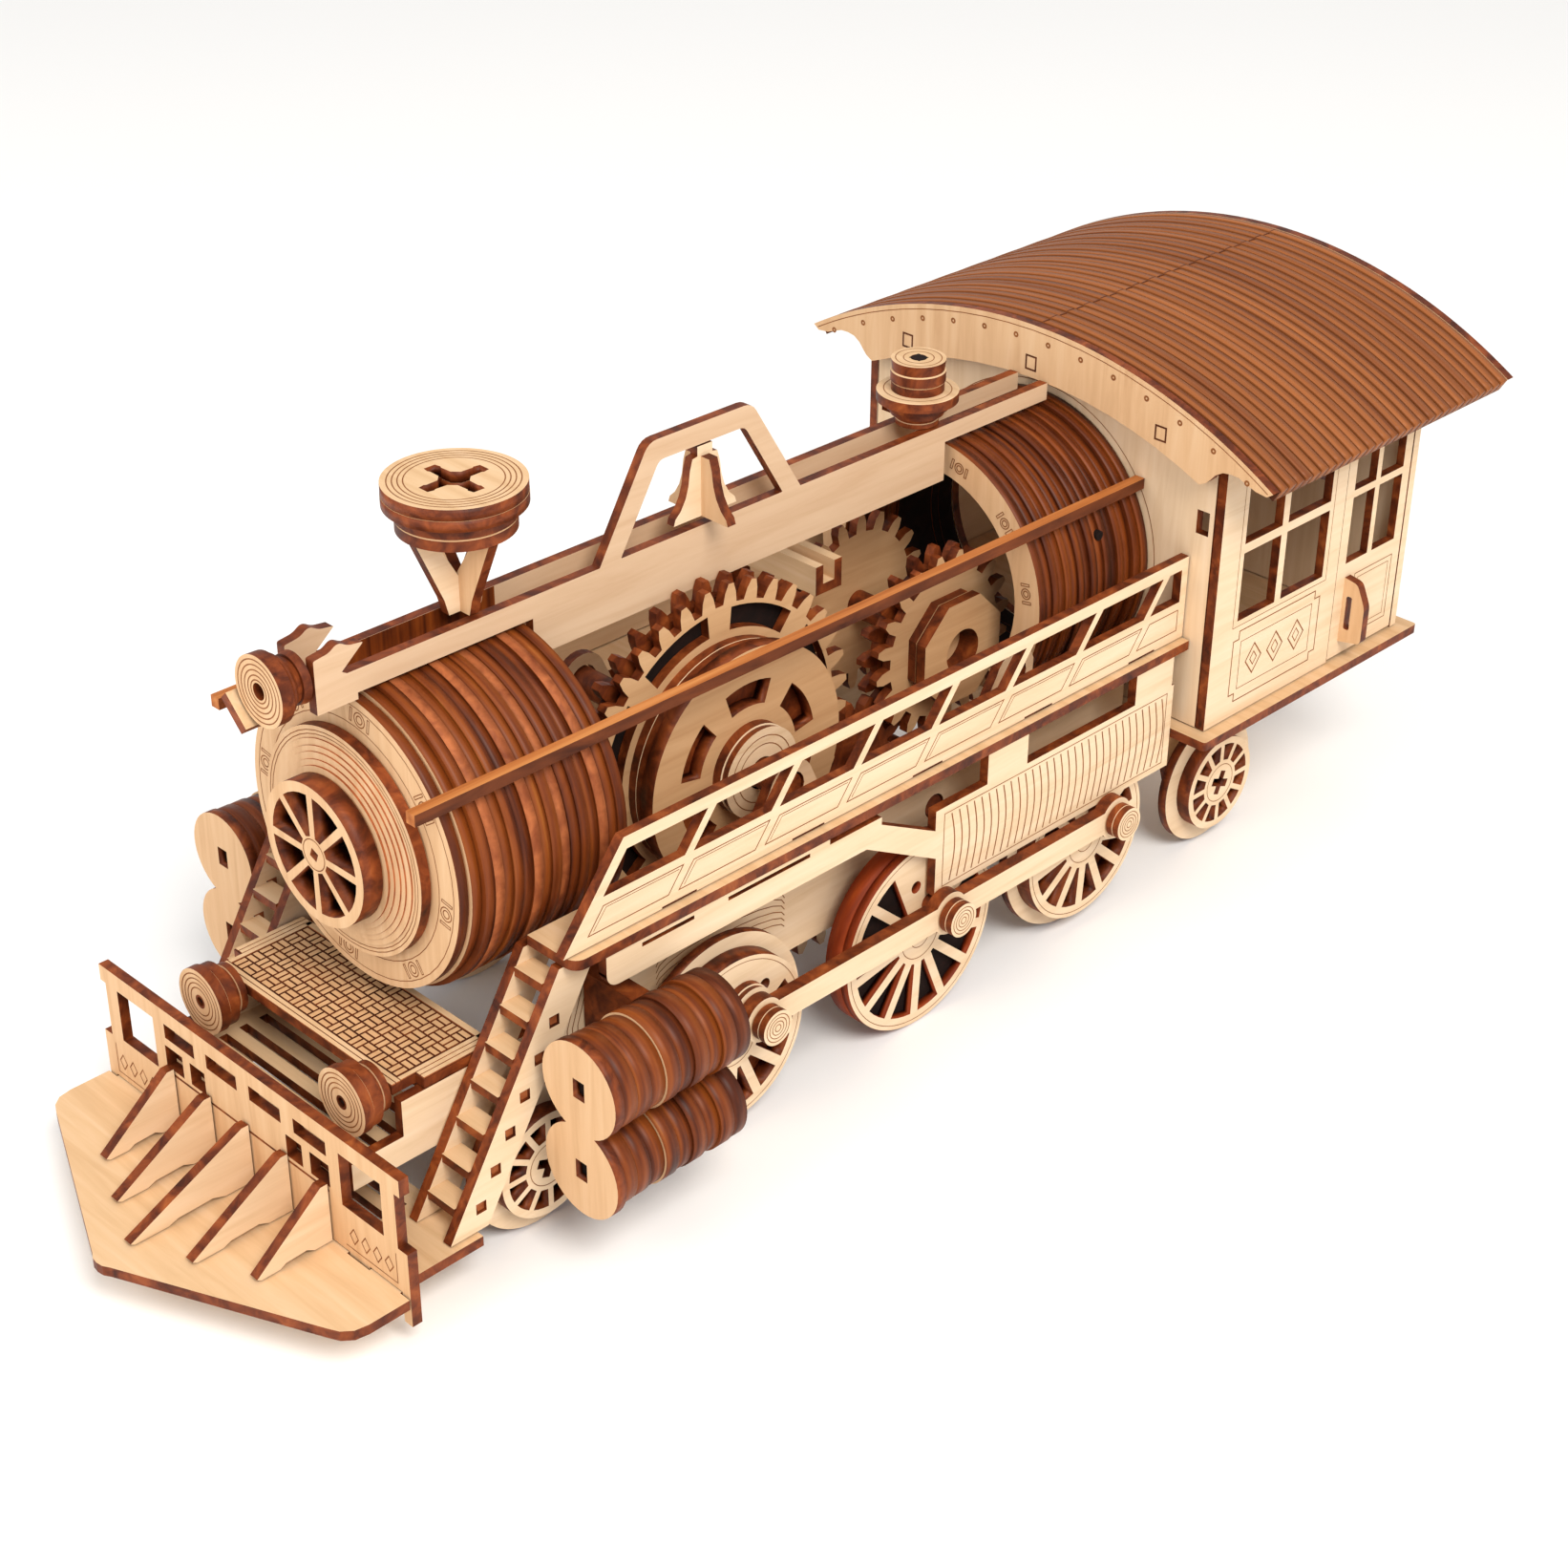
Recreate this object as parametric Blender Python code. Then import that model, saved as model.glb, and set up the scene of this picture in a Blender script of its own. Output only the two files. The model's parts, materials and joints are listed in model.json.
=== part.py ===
"""Wooden steam locomotive puzzle: laser-cut plywood plates, gears and wheels, one object per piece.

Frame: +X towards the pilot, +Y engine left, +Z up, origin on the ground under the middle of the bounding box.
Lengths below are millimetres and are scaled to metres when a mesh is made.
"""
import math

import bpy
import bmesh
from mathutils import Vector
from mathutils.geometry import delaunay_2d_cdt

MM = 0.001
PLY = 2.0
FIT = 0.3
LAP = 0.05

# pilot (cowcatcher) and front frame
PILOT_Z = 8.8
PILOT_TIP_X = 155.3
PILOT_SHOULDER_X = 136.5
PILOT_HALF = 43.5
FENCE_X = 124.0
FENCE_TOP = 34.6
RIB_TIP_X = (139.5, 144.5, 149.2, 144.5, 139.5)
RIB_PITCH = 11.0
DECK_HALF = 26.7
DECK_Z = 37.0
DECK_X = (91.0, 111.0)
BUFFER_Y = 20.0
BUFFER_Z = 34.8

# boiler
BOILER_Z = 68.3
BOILER_R = 29.2
BOILER_IN = 22.6
FRONT_SECTION = (62.0, 94.9)
REAR_SECTION = (-77.0, -44.8)
SMOKE_RING_R = 27.6
DOOR_R = 20.8
SPOKED_R = 13.2

# roof beams, funnel, dome, headlamp
BEAM_Y = (2.8, 4.8)
BEAM_TOP = 102.0
FUNNEL_X = 71.8
FUNNEL_TOP = 125.7
DOME_X = -40.0
LAMP_Z = 102.0

# walkways
WALK_Z = (55.0, 57.0)
WALK_Y = (29.5, 41.5)
WALK_X = (-76.9, 85.0)
RAIL_Y = (37.7, 39.7)
RAIL_TOP = 75.0
RAIL_PITCH = 20.4
SKIRT_Y = (39.2, 41.2)
FRAME_Y = (27.0, 29.0)

# cab
CAB_X = (-144.5, -77.3)
CAB_Y = 46.8
CAB_FLOOR = (36.0, 38.0)
ROOF_X = (-155.3, -73.3)
ROOF_HALF = 60.0
ROOF_RISE = 16.7
ROOF_TOP = 112.7
ROOF_R = (ROOF_HALF ** 2 + ROOF_RISE ** 2) / (2.0 * ROOF_RISE)
ROOF_CZ = ROOF_TOP - ROOF_R
DOOR_X = (-142.2, -119.4)
DOOR_Z = (38.7, 92.5)
DOOR_Y = (44.9, 46.7)

# running gear
DRIVER_X = (46.0, -3.0, -52.0)
DRIVER_Z = 20.0
FLANGE_R = 20.0
TREAD_R = 17.2
CRANK = 7.0
CRANK_ANGLE = math.radians(106.0)
PIN_R = 1.8
AXLE_R = 2.2
SMALL_FLANGE_R = 14.2
SMALL_TREAD_R = 10.6
PILOT_WHEEL_X = 87.6
TRAILING_WHEEL_X = -97.5
ROD_Y = (41.6, 44.2)

# gear train
MODULE = 1.76
TEETH_PINION = 17
TEETH_MAIN = 36
TEETH_IDLER = 14
TEETH_COUNTER = 20
MAIN_X = 22.5
COUNTER_X = -38.5
PRESSURE = math.radians(20.0)
GEAR_PLANE = (5.15, 7.15)
GEAR_FRONT_PLANE = (8.6, 10.6)

COLOURS = {
    "face": (0.86, 0.68, 0.46, 0.62),
    "burnt": (0.30, 0.12, 0.045, 0.55),
    "bar": (0.56, 0.28, 0.10, 0.50),
}


# ---------------------------------------------------------------- helpers
def clear_scene():
    for obj in list(bpy.data.objects):
        bpy.data.objects.remove(obj, do_unlink=True)


def material(name, kind):
    mat = bpy.data.materials.new("wood_" + name)
    mat.use_nodes = True
    shader = mat.node_tree.nodes["Principled BSDF"]
    r, g, b, rough = COLOURS[kind]
    shader.inputs["Base Color"].default_value = (r, g, b, 1.0)
    shader.inputs["Roughness"].default_value = rough
    shader.inputs["Metallic"].default_value = 0.0
    return mat


def circle(cx, cy, radius, count, start=0.0):
    step = 2.0 * math.pi / count
    return [(cx + radius * math.cos(start + step * i), cy + radius * math.sin(start + step * i)) for i in range(count)]


def arc(cx, cy, radius, a0, a1, count):
    out = []
    for i in range(count + 1):
        a = a0 + (a1 - a0) * i / count
        out.append((cx + radius * math.cos(a), cy + radius * math.sin(a)))
    return out


def rect(x0, y0, x1, y1):
    return [(x0, y0), (x1, y0), (x1, y1), (x0, y1)]


def inside(loop, x, y):
    hit = False
    for i, (x0, y0) in enumerate(loop):
        x1, y1 = loop[i - 1]
        if (y0 > y) != (y1 > y) and x < (x1 - x0) * (y - y0) / (y1 - y0) + x0:
            hit = not hit
    return hit


def triangles(loops):
    """Delaunay triangles of an outline with holes, as indices into all the loops' points in order."""
    points = [Vector(p) for loop in loops for p in loop]
    edges = []
    start = 0
    for loop in loops:
        edges += [(start + i, start + (i + 1) % len(loop)) for i in range(len(loop))]
        start += len(loop)
    verts, _, faces, origin, _, _ = delaunay_2d_cdt(points, edges, [], 0, 1e-6, True)
    keep = []
    for face in faces:
        x = sum(verts[i].x for i in face) / 3.0
        y = sum(verts[i].y for i in face) / 3.0
        if inside(loops[0], x, y) and not any(inside(hole, x, y) for hole in loops[1:]):
            keep.append([origin[i][0] for i in face])
    return keep


def place(plane, a, b, depth):
    if plane == "xz":
        return (a, depth, b)
    if plane == "yz":
        return (depth, a, b)
    return (a, b, depth)


def plate(plane, outline, holes, lo, hi):
    """Closed plate: a 2-D outline with holes, extruded from lo to hi across its plane."""
    loops = [outline] + list(holes)
    verts = []
    faces = []
    starts = []
    for loop in loops:
        starts.append(len(verts))
        verts += [place(plane, a, b, lo) for a, b in loop]
        verts += [place(plane, a, b, hi) for a, b in loop]
    index = []
    for loop, start in zip(loops, starts):
        index += [(start + i, start + len(loop) + i) for i in range(len(loop))]
    for tri in triangles(loops):
        faces.append([index[i][0] for i in tri])
        faces.append([index[i][1] for i in reversed(tri)])
    for loop, start in zip(loops, starts):
        n = len(loop)
        for i in range(n):
            j = (i + 1) % n
            faces.append([start + i, start + j, start + n + j, start + n + i])
    return verts, faces


def lathe(axis, centre, profile, count, start=0.0):
    """Closed solid of revolution; profile is a list of (position along axis, radius), 0 radius at both ends."""
    ca, cb = centre
    verts = []
    faces = []
    rings = []
    for pos, radius in profile:
        if radius <= 0.0:
            rings.append([len(verts)])
            verts.append(axis_point(axis, pos, ca, cb))
        else:
            rings.append(list(range(len(verts), len(verts) + count)))
            for a, b in circle(ca, cb, radius, count, start):
                verts.append(axis_point(axis, pos, a, b))
    for low, high in zip(rings, rings[1:]):
        for i in range(count):
            j = (i + 1) % count
            if len(low) == 1:
                faces.append([low[0], high[j], high[i]])
            elif len(high) == 1:
                faces.append([low[i], low[j], high[0]])
            else:
                faces.append([low[i], low[j], high[j], high[i]])
    return verts, faces


def tube(axis, centre, profile, inner, count):
    """Closed ring of revolution with a plain bore: profile of the outside between its two ends."""
    loop = [(profile[0][0], inner)] + list(profile) + [(profile[-1][0], inner)]
    verts = []
    faces = []
    for pos, radius in loop:
        for a, b in circle(centre[0], centre[1], radius, count):
            verts.append(axis_point(axis, pos, a, b))
    rows = len(loop)
    for r in range(rows):
        s = (r + 1) % rows
        for i in range(count):
            j = (i + 1) % count
            faces.append([r * count + i, r * count + j, s * count + j, s * count + i])
    return verts, faces


def axis_point(axis, pos, a, b):
    if axis == "x":
        return (pos, a, b)
    if axis == "y":
        return (a, pos, b)
    return (a, b, pos)


def mesh_from(name, piece, origin):
    verts, faces = piece
    ox, oy, oz = origin
    mesh = bpy.data.meshes.new(name)
    mesh.from_pydata([((x - ox) * MM, (y - oy) * MM, (z - oz) * MM) for x, y, z in verts], [], faces)
    bm = bmesh.new()
    bm.from_mesh(mesh)
    bmesh.ops.remove_doubles(bm, verts=bm.verts, dist=1e-6)
    bmesh.ops.recalc_face_normals(bm, faces=bm.faces)
    bm.to_mesh(mesh)
    bm.free()
    return mesh


def link(name, mesh, origin, kind):
    obj = bpy.data.objects.new(name, mesh)
    obj.location = [c * MM for c in origin]
    mesh.materials.clear()
    mesh.materials.append(material(name, kind))
    bpy.context.scene.collection.objects.link(obj)
    return obj


def body(name, pieces, kind="face", origin=(0.0, 0.0, 0.0)):
    """One named object; several pieces are joined into one solid."""
    base = link(name, mesh_from(name, pieces[0], origin), origin, kind)
    tools = []
    for i, piece in enumerate(pieces[1:]):
        tool = bpy.data.objects.new(name + "_tool%d" % i, mesh_from(name + "_tool%d" % i, piece, origin))
        tool.location = base.location
        bpy.context.scene.collection.objects.link(tool)
        tools.append(tool)
        mod = base.modifiers.new("join%d" % i, "BOOLEAN")
        mod.operation = "UNION"
        mod.solver = "EXACT"
        mod.object = tool
    if tools:
        bpy.context.view_layer.update()
        graph = bpy.context.evaluated_depsgraph_get()
        joined = bpy.data.meshes.new_from_object(base.evaluated_get(graph))
        base.modifiers.clear()
        old = base.data
        base.data = joined
        joined.materials.clear()
        joined.materials.append(old.materials[0])
        bpy.data.meshes.remove(old)
        joined.name = name
        for tool in tools:
            spare = tool.data
            bpy.data.objects.remove(tool, do_unlink=True)
            bpy.data.meshes.remove(spare)
    return base


def mirror_y(piece):
    verts, faces = piece
    return [(x, -y, z) for x, y, z in verts], [list(reversed(f)) for f in faces]


def sides():
    return (("left", 1.0), ("right", -1.0))


def span(side, lo, hi):
    return (lo, hi) if side > 0 else (-hi, -lo)


# ---------------------------------------------------------------- pilot and front end
def build_pilot():
    half = PILOT_HALF
    shoulder = PILOT_SHOULDER_X
    rear = [(105.5, -39.5), (105.5, 39.5), (121.4, 39.5), (121.4, 41.0), (124.3, 41.0), (124.3, half)]
    front = [(shoulder - 4.0, half), (shoulder - 1.0, half - 0.8), (shoulder + 1.0, half - 3.4)]
    tip = [(PILOT_TIP_X, 1.4), (PILOT_TIP_X, -1.4)]
    left_half = rear[1:] + front
    outline = left_half + tip + [(x, -y) for x, y in reversed(left_half)]
    slots = [rect(121.6, y - 3.0, 124.4, y + 3.0) for y in (-30.0, 0.0, 30.0)]
    slots += [rect(113.6, -24.0, 115.4, 24.0), rect(109.4, -24.0, 111.2, 24.0)]
    body("pilot_plate", [plate("xy", outline, slots, PILOT_Z, PILOT_Z + PLY)])
    base = PILOT_Z + PLY + FIT
    for i, tip_x in enumerate(RIB_TIP_X):
        y = (i - 2) * RIB_PITCH
        side = [(FENCE_X + FIT, base), (tip_x, base), (tip_x, base + 0.5), (FENCE_X + FIT, 23.0)]
        body("pilot_rib_%d" % (i + 1), [plate("xz", side, [], y - PLY / 2, y + PLY / 2)], "burnt")
    fence_outline = [(-43.4, 4.8), (-41.3, 4.8), (-41.3, PILOT_Z + PLY + FIT)]
    fence_outline += [(-33.3, PILOT_Z + PLY + FIT)]
    for y in (-30.0, 0.0, 30.0):
        fence_outline += [(y - 2.7, PILOT_Z + PLY + FIT), (y - 2.7, PILOT_Z), (y + 2.7, PILOT_Z)]
        fence_outline += [(y + 2.7, PILOT_Z + PLY + FIT)]
    fence_outline += [(41.3, PILOT_Z + PLY + FIT), (41.3, 4.8), (43.4, 4.8), (43.4, 20.0), (41.0, 20.0)]
    fence_outline += [(41.0, 31.2), (42.5, 31.2), (42.5, FENCE_TOP), (-42.5, FENCE_TOP), (-42.5, 31.2)]
    fence_outline += [(-41.0, 31.2), (-41.0, 20.0), (-43.4, 20.0)]
    fence_outline.pop(3)
    holes = [rect(26.4, 20.5, 37.4, 31.2), rect(-37.4, 20.5, -26.4, 31.2)]
    for k in range(4):
        y = -18.6 + 12.4 * k
        holes.append(rect(y - 4.4, 28.6, y + 4.4, 31.6))
    for y0, y1 in ((-23.4, -18.2), (-16.0, -11.6), (11.6, 16.0), (18.2, 23.4)):
        holes.append(rect(y0, 22.3, y1, 26.9))
    body("pilot_fence", [plate("yz", fence_outline, holes, FENCE_X - PLY, FENCE_X)])


def build_front_frame():
    floor = rect(101.0, -DECK_HALF + 1.0, FENCE_X - PLY - FIT, DECK_HALF - 1.0)
    slots = [rect(x, -21.5, x + 1.7, 21.5) for x in (104.0, 108.3, 112.6, 116.9)]
    pieces = [plate("xy", floor, slots, 22.5, 24.5)]
    cheek = [(80.5, 24.0), (82.0, 24.0), (82.6, 10.6), (92.6, 10.6), (96.0, 22.2), (121.0, 22.2)]
    cheek += [(121.0, 27.6), (110.9, 27.6), (110.9, 34.7), (80.5, 34.7)]
    hole = circle(PILOT_WHEEL_X, SMALL_FLANGE_R, AXLE_R + 0.4, 12)
    for _, s in sides():
        y0, y1 = span(s, DECK_HALF - PLY, DECK_HALF)
        pieces.append(plate("xz", cheek, [hole], y0, y1))
    body("front_frame", pieces)
    body("front_deck", [plate("xy", rect(DECK_X[0], -DECK_HALF, DECK_X[1], DECK_HALF), [], DECK_Z - PLY, DECK_Z)])
    for label, s in sides():
        x0 = DECK_X[1] + FIT
        prof = [(x0, 0.0), (x0, 4.6), (x0 + 2.6, 4.6), (x0 + 2.6, 6.3), (x0 + 6.7, 6.3), (x0 + 6.7, 0.0)]
        body("buffer_" + label, [lathe("x", (s * BUFFER_Y, BUFFER_Z), prof, 16)], "burnt")


def build_stairs():
    slope = 0.59
    foot_z = PILOT_Z + PLY + FIT
    top_z = WALK_Z[0] - FIT
    x_mid = 107.2
    def centre(z):
        return x_mid - slope * (z - foot_z)
    for label, s in sides():
        edge = [(centre(foot_z) - 4.0, foot_z), (centre(foot_z) + 4.2, foot_z), (centre(top_z) + 4.2, top_z)]
        edge += [(centre(top_z) - 4.0, top_z)]
        holes = []
        for k in range(6):
            z = 15.6 + 5.9 * k
            x = centre(z)
            holes.append([(x - 1.1, z - 1.1), (x + 1.1, z - 1.1), (x + 1.1, z + 1.1), (x - 1.1, z + 1.1)])
        pieces = [plate("xz", edge, holes, *span(s, 36.2, 38.2)), plate("xz", edge, [], *span(s, 27.2, 29.2))]
        for k in range(7):
            z = 14.6 + 5.9 * k
            x = centre(z)
            y0, y1 = span(s, 29.2 - LAP, 36.2 + LAP)
            pieces.append(plate("xy", rect(x - 0.6, y0, x + 3.6, y1), [], z, z + 1.8))
        body("stair_" + label, pieces)


# ---------------------------------------------------------------- boiler
def ribbed(x0, x1, count, radius, dip):
    """Outside profile of a stack of plywood rings, alternately full and slightly smaller."""
    step = (x1 - x0) / count
    out = []
    for i in range(count):
        r = radius if i % 2 == 0 else radius - dip
        out += [(x0 + step * i, r), (x0 + step * (i + 1), r)]
    return out


def build_boiler():
    x0, x1 = FRONT_SECTION
    body("boiler_front_section", [tube("x", (0.0, BOILER_Z), ribbed(x0, x1, 5, BOILER_R, 0.7), BOILER_IN, 28)], "burnt")
    prof = [(x1 + FIT, SMOKE_RING_R), (x1 + FIT + PLY, SMOKE_RING_R)]
    body("smokebox_ring", [tube("x", (0.0, BOILER_Z), prof, 15.0, 28)])
    f = x1 + 2 * FIT + PLY
    door = [(f, 0.0), (f, DOOR_R), (f + 2.0, DOOR_R), (f + 2.0, 18.0), (f + 2.9, 18.0), (f + 2.9, 16.4)]
    door += [(f + 3.6, 16.4), (f + 3.6, 0.0)]
    body("smokebox_door", [lathe("x", (0.0, BOILER_Z), door, 26)])
    lo = f + 3.6 + FIT
    holes = []
    for k in range(8):
        a = 2.0 * math.pi * (k + 0.5) / 8
        inner = 3.6
        outer = SPOKED_R - 1.9
        w0 = 0.20
        w1 = 0.31
        holes.append([(inner * math.cos(a - w0), BOILER_Z + inner * math.sin(a - w0)),
                      (outer * math.cos(a - w1), BOILER_Z + outer * math.sin(a - w1)),
                      (outer * math.cos(a + w1), BOILER_Z + outer * math.sin(a + w1)),
                      (inner * math.cos(a + w0), BOILER_Z + inner * math.sin(a + w0))])
    body("smokebox_wheel", [plate("yz", circle(0.0, BOILER_Z, SPOKED_R, 24), holes, lo, 105.4)])
    x0, x1 = REAR_SECTION
    well = -60.4
    prof = [(x0, 29.9), (x0 + 3.6, 29.9)] + ribbed(x0 + 3.6, well, 2, BOILER_R - 0.6, -0.6)
    rings = [tube("x", (0.0, BOILER_Z), prof, BOILER_IN, 28)]
    for i, r in enumerate((BOILER_R - 0.1, BOILER_R - 0.7, BOILER_R - 0.2)):
        a0 = math.radians(-42.0 + 0.4 * i)
        bore = BOILER_IN + 0.1 + 0.05 * i
        outline = arc(0.0, BOILER_Z, r, a0, math.pi - a0, 18) + arc(0.0, BOILER_Z, bore, math.pi - a0, a0, 18)
        start = well + 5.2 * i
        rings.append(plate("yz", outline, [], start - 0.3, start + 5.2))
    body("boiler_rear_section", rings, "burnt")
    for label, s in sides():
        y0, y1 = span(s, 25.1, 27.3)
        body("handrail_" + label, [plate("yz", rect(y0, 85.3, y1, 87.5), [], -78.0 + 1.0, 104.6)], "bar")


def build_top_beams():
    over = BOILER_Z + BOILER_R + FIT
    low = 90.5
    front = [(105.5, 96.6), (105.5, 106.4), (102.4, 106.8), (100.6, 108.0), (98.6, 106.8), (95.6, 106.4)]
    front += [(100.2, 102.6), (99.2, BEAM_TOP)]
    frame_out = [(45.3, BEAM_TOP), (33.5, 121.8), (8.8, 121.8), (-3.6, BEAM_TOP)]
    tail = [(-72.9, BEAM_TOP), (-72.9, over + 0.7), (-43.0, over + 0.7), (-43.0, low), (60.5, low), (60.5, over)]
    tail += [(97.4, over), (97.4, 96.6)]
    window = [(40.4, BEAM_TOP + 0.2), (31.1, 117.8), (10.6, 117.8), (1.0, BEAM_TOP + 0.2)]
    left = plate("xz", front + frame_out + tail, [window], *BEAM_Y)
    body("top_beam_left", [left])
    right = plate("xz", front + tail, [], -BEAM_Y[1], -BEAM_Y[0])
    body("top_beam_right", [right])


def build_bell():
    cx = 20.2
    cy = (BEAM_Y[0] + BEAM_Y[1]) / 2.0
    levels = [(117.4, 1.6), (115.6, 1.6), (115.6, 2.6), (113.4, 3.0), (108.4, 4.2), (105.6, 6.2), (104.0, 6.4)]
    long_side = [(cx + w, z) for z, w in levels] + [(cx - w, z) for z, w in reversed(levels)]
    cross_side = [(cy + w, z) for z, w in levels[2:]] + [(cy - w, z) for z, w in reversed(levels[2:])]
    in_plane = plate("xz", long_side, [], cy - 0.9, cy + 0.9)
    across = plate("yz", cross_side, [], cx - 1.0, cx + 1.0)
    body("bell", [in_plane, across])


def build_funnel():
    base = BEAM_TOP + FIT
    neck = FUNNEL_TOP - 8.4
    def leg(c, notch, rise):
        return [(c - 3.4, base), (c + 3.4, base), (c + 9.6, neck + rise), (c + 6.0, neck + rise), (c, notch),
                (c - 6.0, neck + rise), (c - 9.6, neck + rise)]
    along = plate("xz", leg(FUNNEL_X, 107.2, 0.9), [], -1.0, 1.0)
    across = plate("yz", leg(0.0, 108.4, 1.3), [], FUNNEL_X - 1.05, FUNNEL_X + 1.05)
    arm = 6.2
    w = 1.25
    cross = []
    for sx, sy in ((1, 1), (-1, 1), (-1, -1), (1, -1)):
        quad = [(arm, w), (w + 0.9, w), (w, w + 0.9), (w, arm)]
        if sx * sy < 0:
            quad = list(reversed(quad))
        cross += [(FUNNEL_X + sx * a, sy * b) for a, b in quad]
    low = plate("xy", circle(FUNNEL_X, 0.0, 10.4, 20), [], neck, neck + 4.4)
    cap = plate("xy", circle(FUNNEL_X, 0.0, 12.2, 24), [cross], neck + 4.4 - LAP, FUNNEL_TOP)
    body("funnel", [cap, low, along, across])


def build_dome_and_lamp():
    z = BEAM_TOP + FIT
    prof = [(z, 0.0), (z, 4.4), (z + 1.8, 4.4), (z + 1.8, 6.2), (z + 4.6, 6.2), (z + 4.6, 7.9), (z + 7.0, 7.9)]
    prof += [(z + 7.0, 5.3), (115.2, 5.3), (115.2, 0.0)]
    body("dome", [lathe("z", (DOME_X, 0.0), prof, 20)], "burnt")
    x = 105.5 + FIT
    prof = [(x, 0.0), (x, 4.6), (x + 1.8, 4.6), (x + 1.8, 5.4), (x + 4.2, 5.4), (x + 4.2, 6.3), (112.9, 6.3), (112.9, 0.0)]
    lamp = lathe("x", (0.0, LAMP_Z), prof, 20)
    bar = slanted_bar(x + 1.0, 114.3, 7.0, 9.0, 3.4)
    gusset = slanted_bar(x + 2.2, 109.4, 3.0, 7.0 + LAP, 1.4)
    body("headlamp", [lamp, bar, gusset], "burnt")


def slanted_bar(x0, x1, near, far, half):
    """Bar along X on the lower right of the lamp, square to a line dropping at 45 degrees from the lamp axis."""
    d = math.sqrt(0.5)
    verts = []
    for px in (x0, x1):
        for out, along in ((near, -half), (near, half), (far, half), (far, -half)):
            verts.append((px, d * (along - out), LAMP_Z - d * (along + out)))
    return verts, [[0, 3, 2, 1], [4, 5, 6, 7], [0, 1, 5, 4], [1, 2, 6, 5], [2, 3, 7, 6], [3, 0, 4, 7]]


# ---------------------------------------------------------------- walkways, railings, skirts, frames
def build_walkways():
    for label, s in sides():
        y0, y1 = WALK_Y
        x0, x1 = WALK_X
        outline = [(x0, y0), (x1, y0), (x1, y1 - 2.4), (x1 - 0.7, y1 - 0.7), (x1 - 2.4, y1), (x0, y1)]
        body("walkway_" + label, [plate("xy", [(x, s * y) for x, y in outline], [], *WALK_Z)])


def build_railings():
    slant = 0.78
    bottom = WALK_Z[1] + FIT
    x_low = 86.0
    sill = 65.6
    head = 72.6
    holes = []
    for k in range(7):
        x = 77.0 - RAIL_PITCH * k
        top = x - slant * (head - sill)
        holes.append([(x, sill), (top, head), (top - 18.4, head), (x - 18.4, sill)])
    x = 77.0 - RAIL_PITCH * 7
    holes.append([(x, sill), (x - slant * (head - sill), head), (-75.0, head), (-75.0, sill)])
    outline = [(-76.9, bottom), (x_low, bottom), (x_low - slant * (RAIL_TOP - bottom), RAIL_TOP), (-76.9, RAIL_TOP)]
    for label, s in sides():
        body("railing_" + label, [plate("xz", outline, holes, *span(s, *RAIL_Y))])


def build_skirts():
    top = WALK_Z[0] - FIT
    outline = [(78.0, top), (78.0, 50.6), (77.2, 49.0), (75.6, 48.4), (15.4, 48.4), (-3.6, 38.0), (-3.6, 29.6)]
    outline += [(-73.6, 29.6), (-73.6, 48.2), (-72.9, 48.2), (-72.9, top), (-61.3, top), (-61.3, 48.2)]
    outline += [(-28.8, 48.2), (-28.8, top), (-17.4, top), (-17.4, 48.4), (-3.2, 48.4), (-3.2, 44.2)]
    outline += [(11.6, 52.0), (11.6, 53.6), (25.0, 53.6), (25.0, top)]
    slots = [rect(30.0, 53.4, 50.0, 54.1), rect(58.0, 53.4, 70.0, 54.1)]
    for label, s in sides():
        body("skirt_" + label, [plate("xz", outline, slots, *span(s, *SKIRT_Y))])


def build_frames():
    gears = gear_centres()
    top = 51.8
    outline = [(80.0, 24.2), (80.0, 34.7), (74.0, top), (60.0, top), (58.0, 54.0)]
    outline += [(32.0, 54.0)] + arc(MAIN_X, gears["main"][1], 5.6, 0.3, math.pi - 0.3, 6) + [(14.0, 54.0)]
    outline += [(-29.0, 54.0)] + arc(COUNTER_X, gears["counter"][1], 5.6, 0.3, math.pi - 0.3, 6)
    outline += [(-43.6, 54.0), (-44.2, top), (-73.4, top), (-73.4, 35.7), (-108.0, 35.7), (-106.0, 20.0)]
    outline += [(-102.0, 9.6), (-93.0, 9.6), (-89.0, 22.0), (-74.0, 24.0), (-60.0, 24.0), (-57.0, 15.4)]
    outline += [(-47.0, 15.4), (-44.0, 24.0), (-11.0, 24.0), (-8.0, 15.4), (2.0, 15.4), (5.0, 24.0)]
    outline += [(38.0, 24.0), (41.0, 15.4), (51.0, 15.4), (54.0, 24.2)]
    bore = AXLE_R + 0.4
    holes = [circle(x, DRIVER_Z, bore, 10) for x in DRIVER_X]
    holes.append(circle(TRAILING_WHEEL_X, SMALL_FLANGE_R, bore, 10))
    holes += [circle(c[0], c[1], 2.8 + 0.45, 10) for c in (gears["main"], gears["counter"])]
    holes.append(circle(gears["idler"][0], gears["idler"][1], bore, 10))
    holes += [rect(24.0, 38.0, 40.0, 39.6), rect(22.0, 41.6, 40.0, 43.2)]
    for label, s in sides():
        body("frame_side_" + label, [plate("xz", outline, holes, *span(s, *FRAME_Y))])
    beam = [(-17.5, 76.0), (-10.5, 76.0), (-10.5, 82.0), (-12.5, 82.0), (-12.5, 78.0), (-15.5, 78.0), (-15.5, 82.0),
            (-17.5, 82.0)]
    shelf = plate("xz", beam, [], -24.0, 2.4)
    post = plate("xz", [(-17.5, 54.6), (-10.5, 54.6), (-10.5, 78.0), (-17.5, 78.0)], [], -24.4, -22.4)
    foot = plate("xz", [(-17.5, 46.0), (-10.5, 46.0), (-10.5, 56.0), (-17.5, 56.0)], [], -26.7, -22.4 - LAP)
    body("cross_member", [shelf, post, foot])


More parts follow.
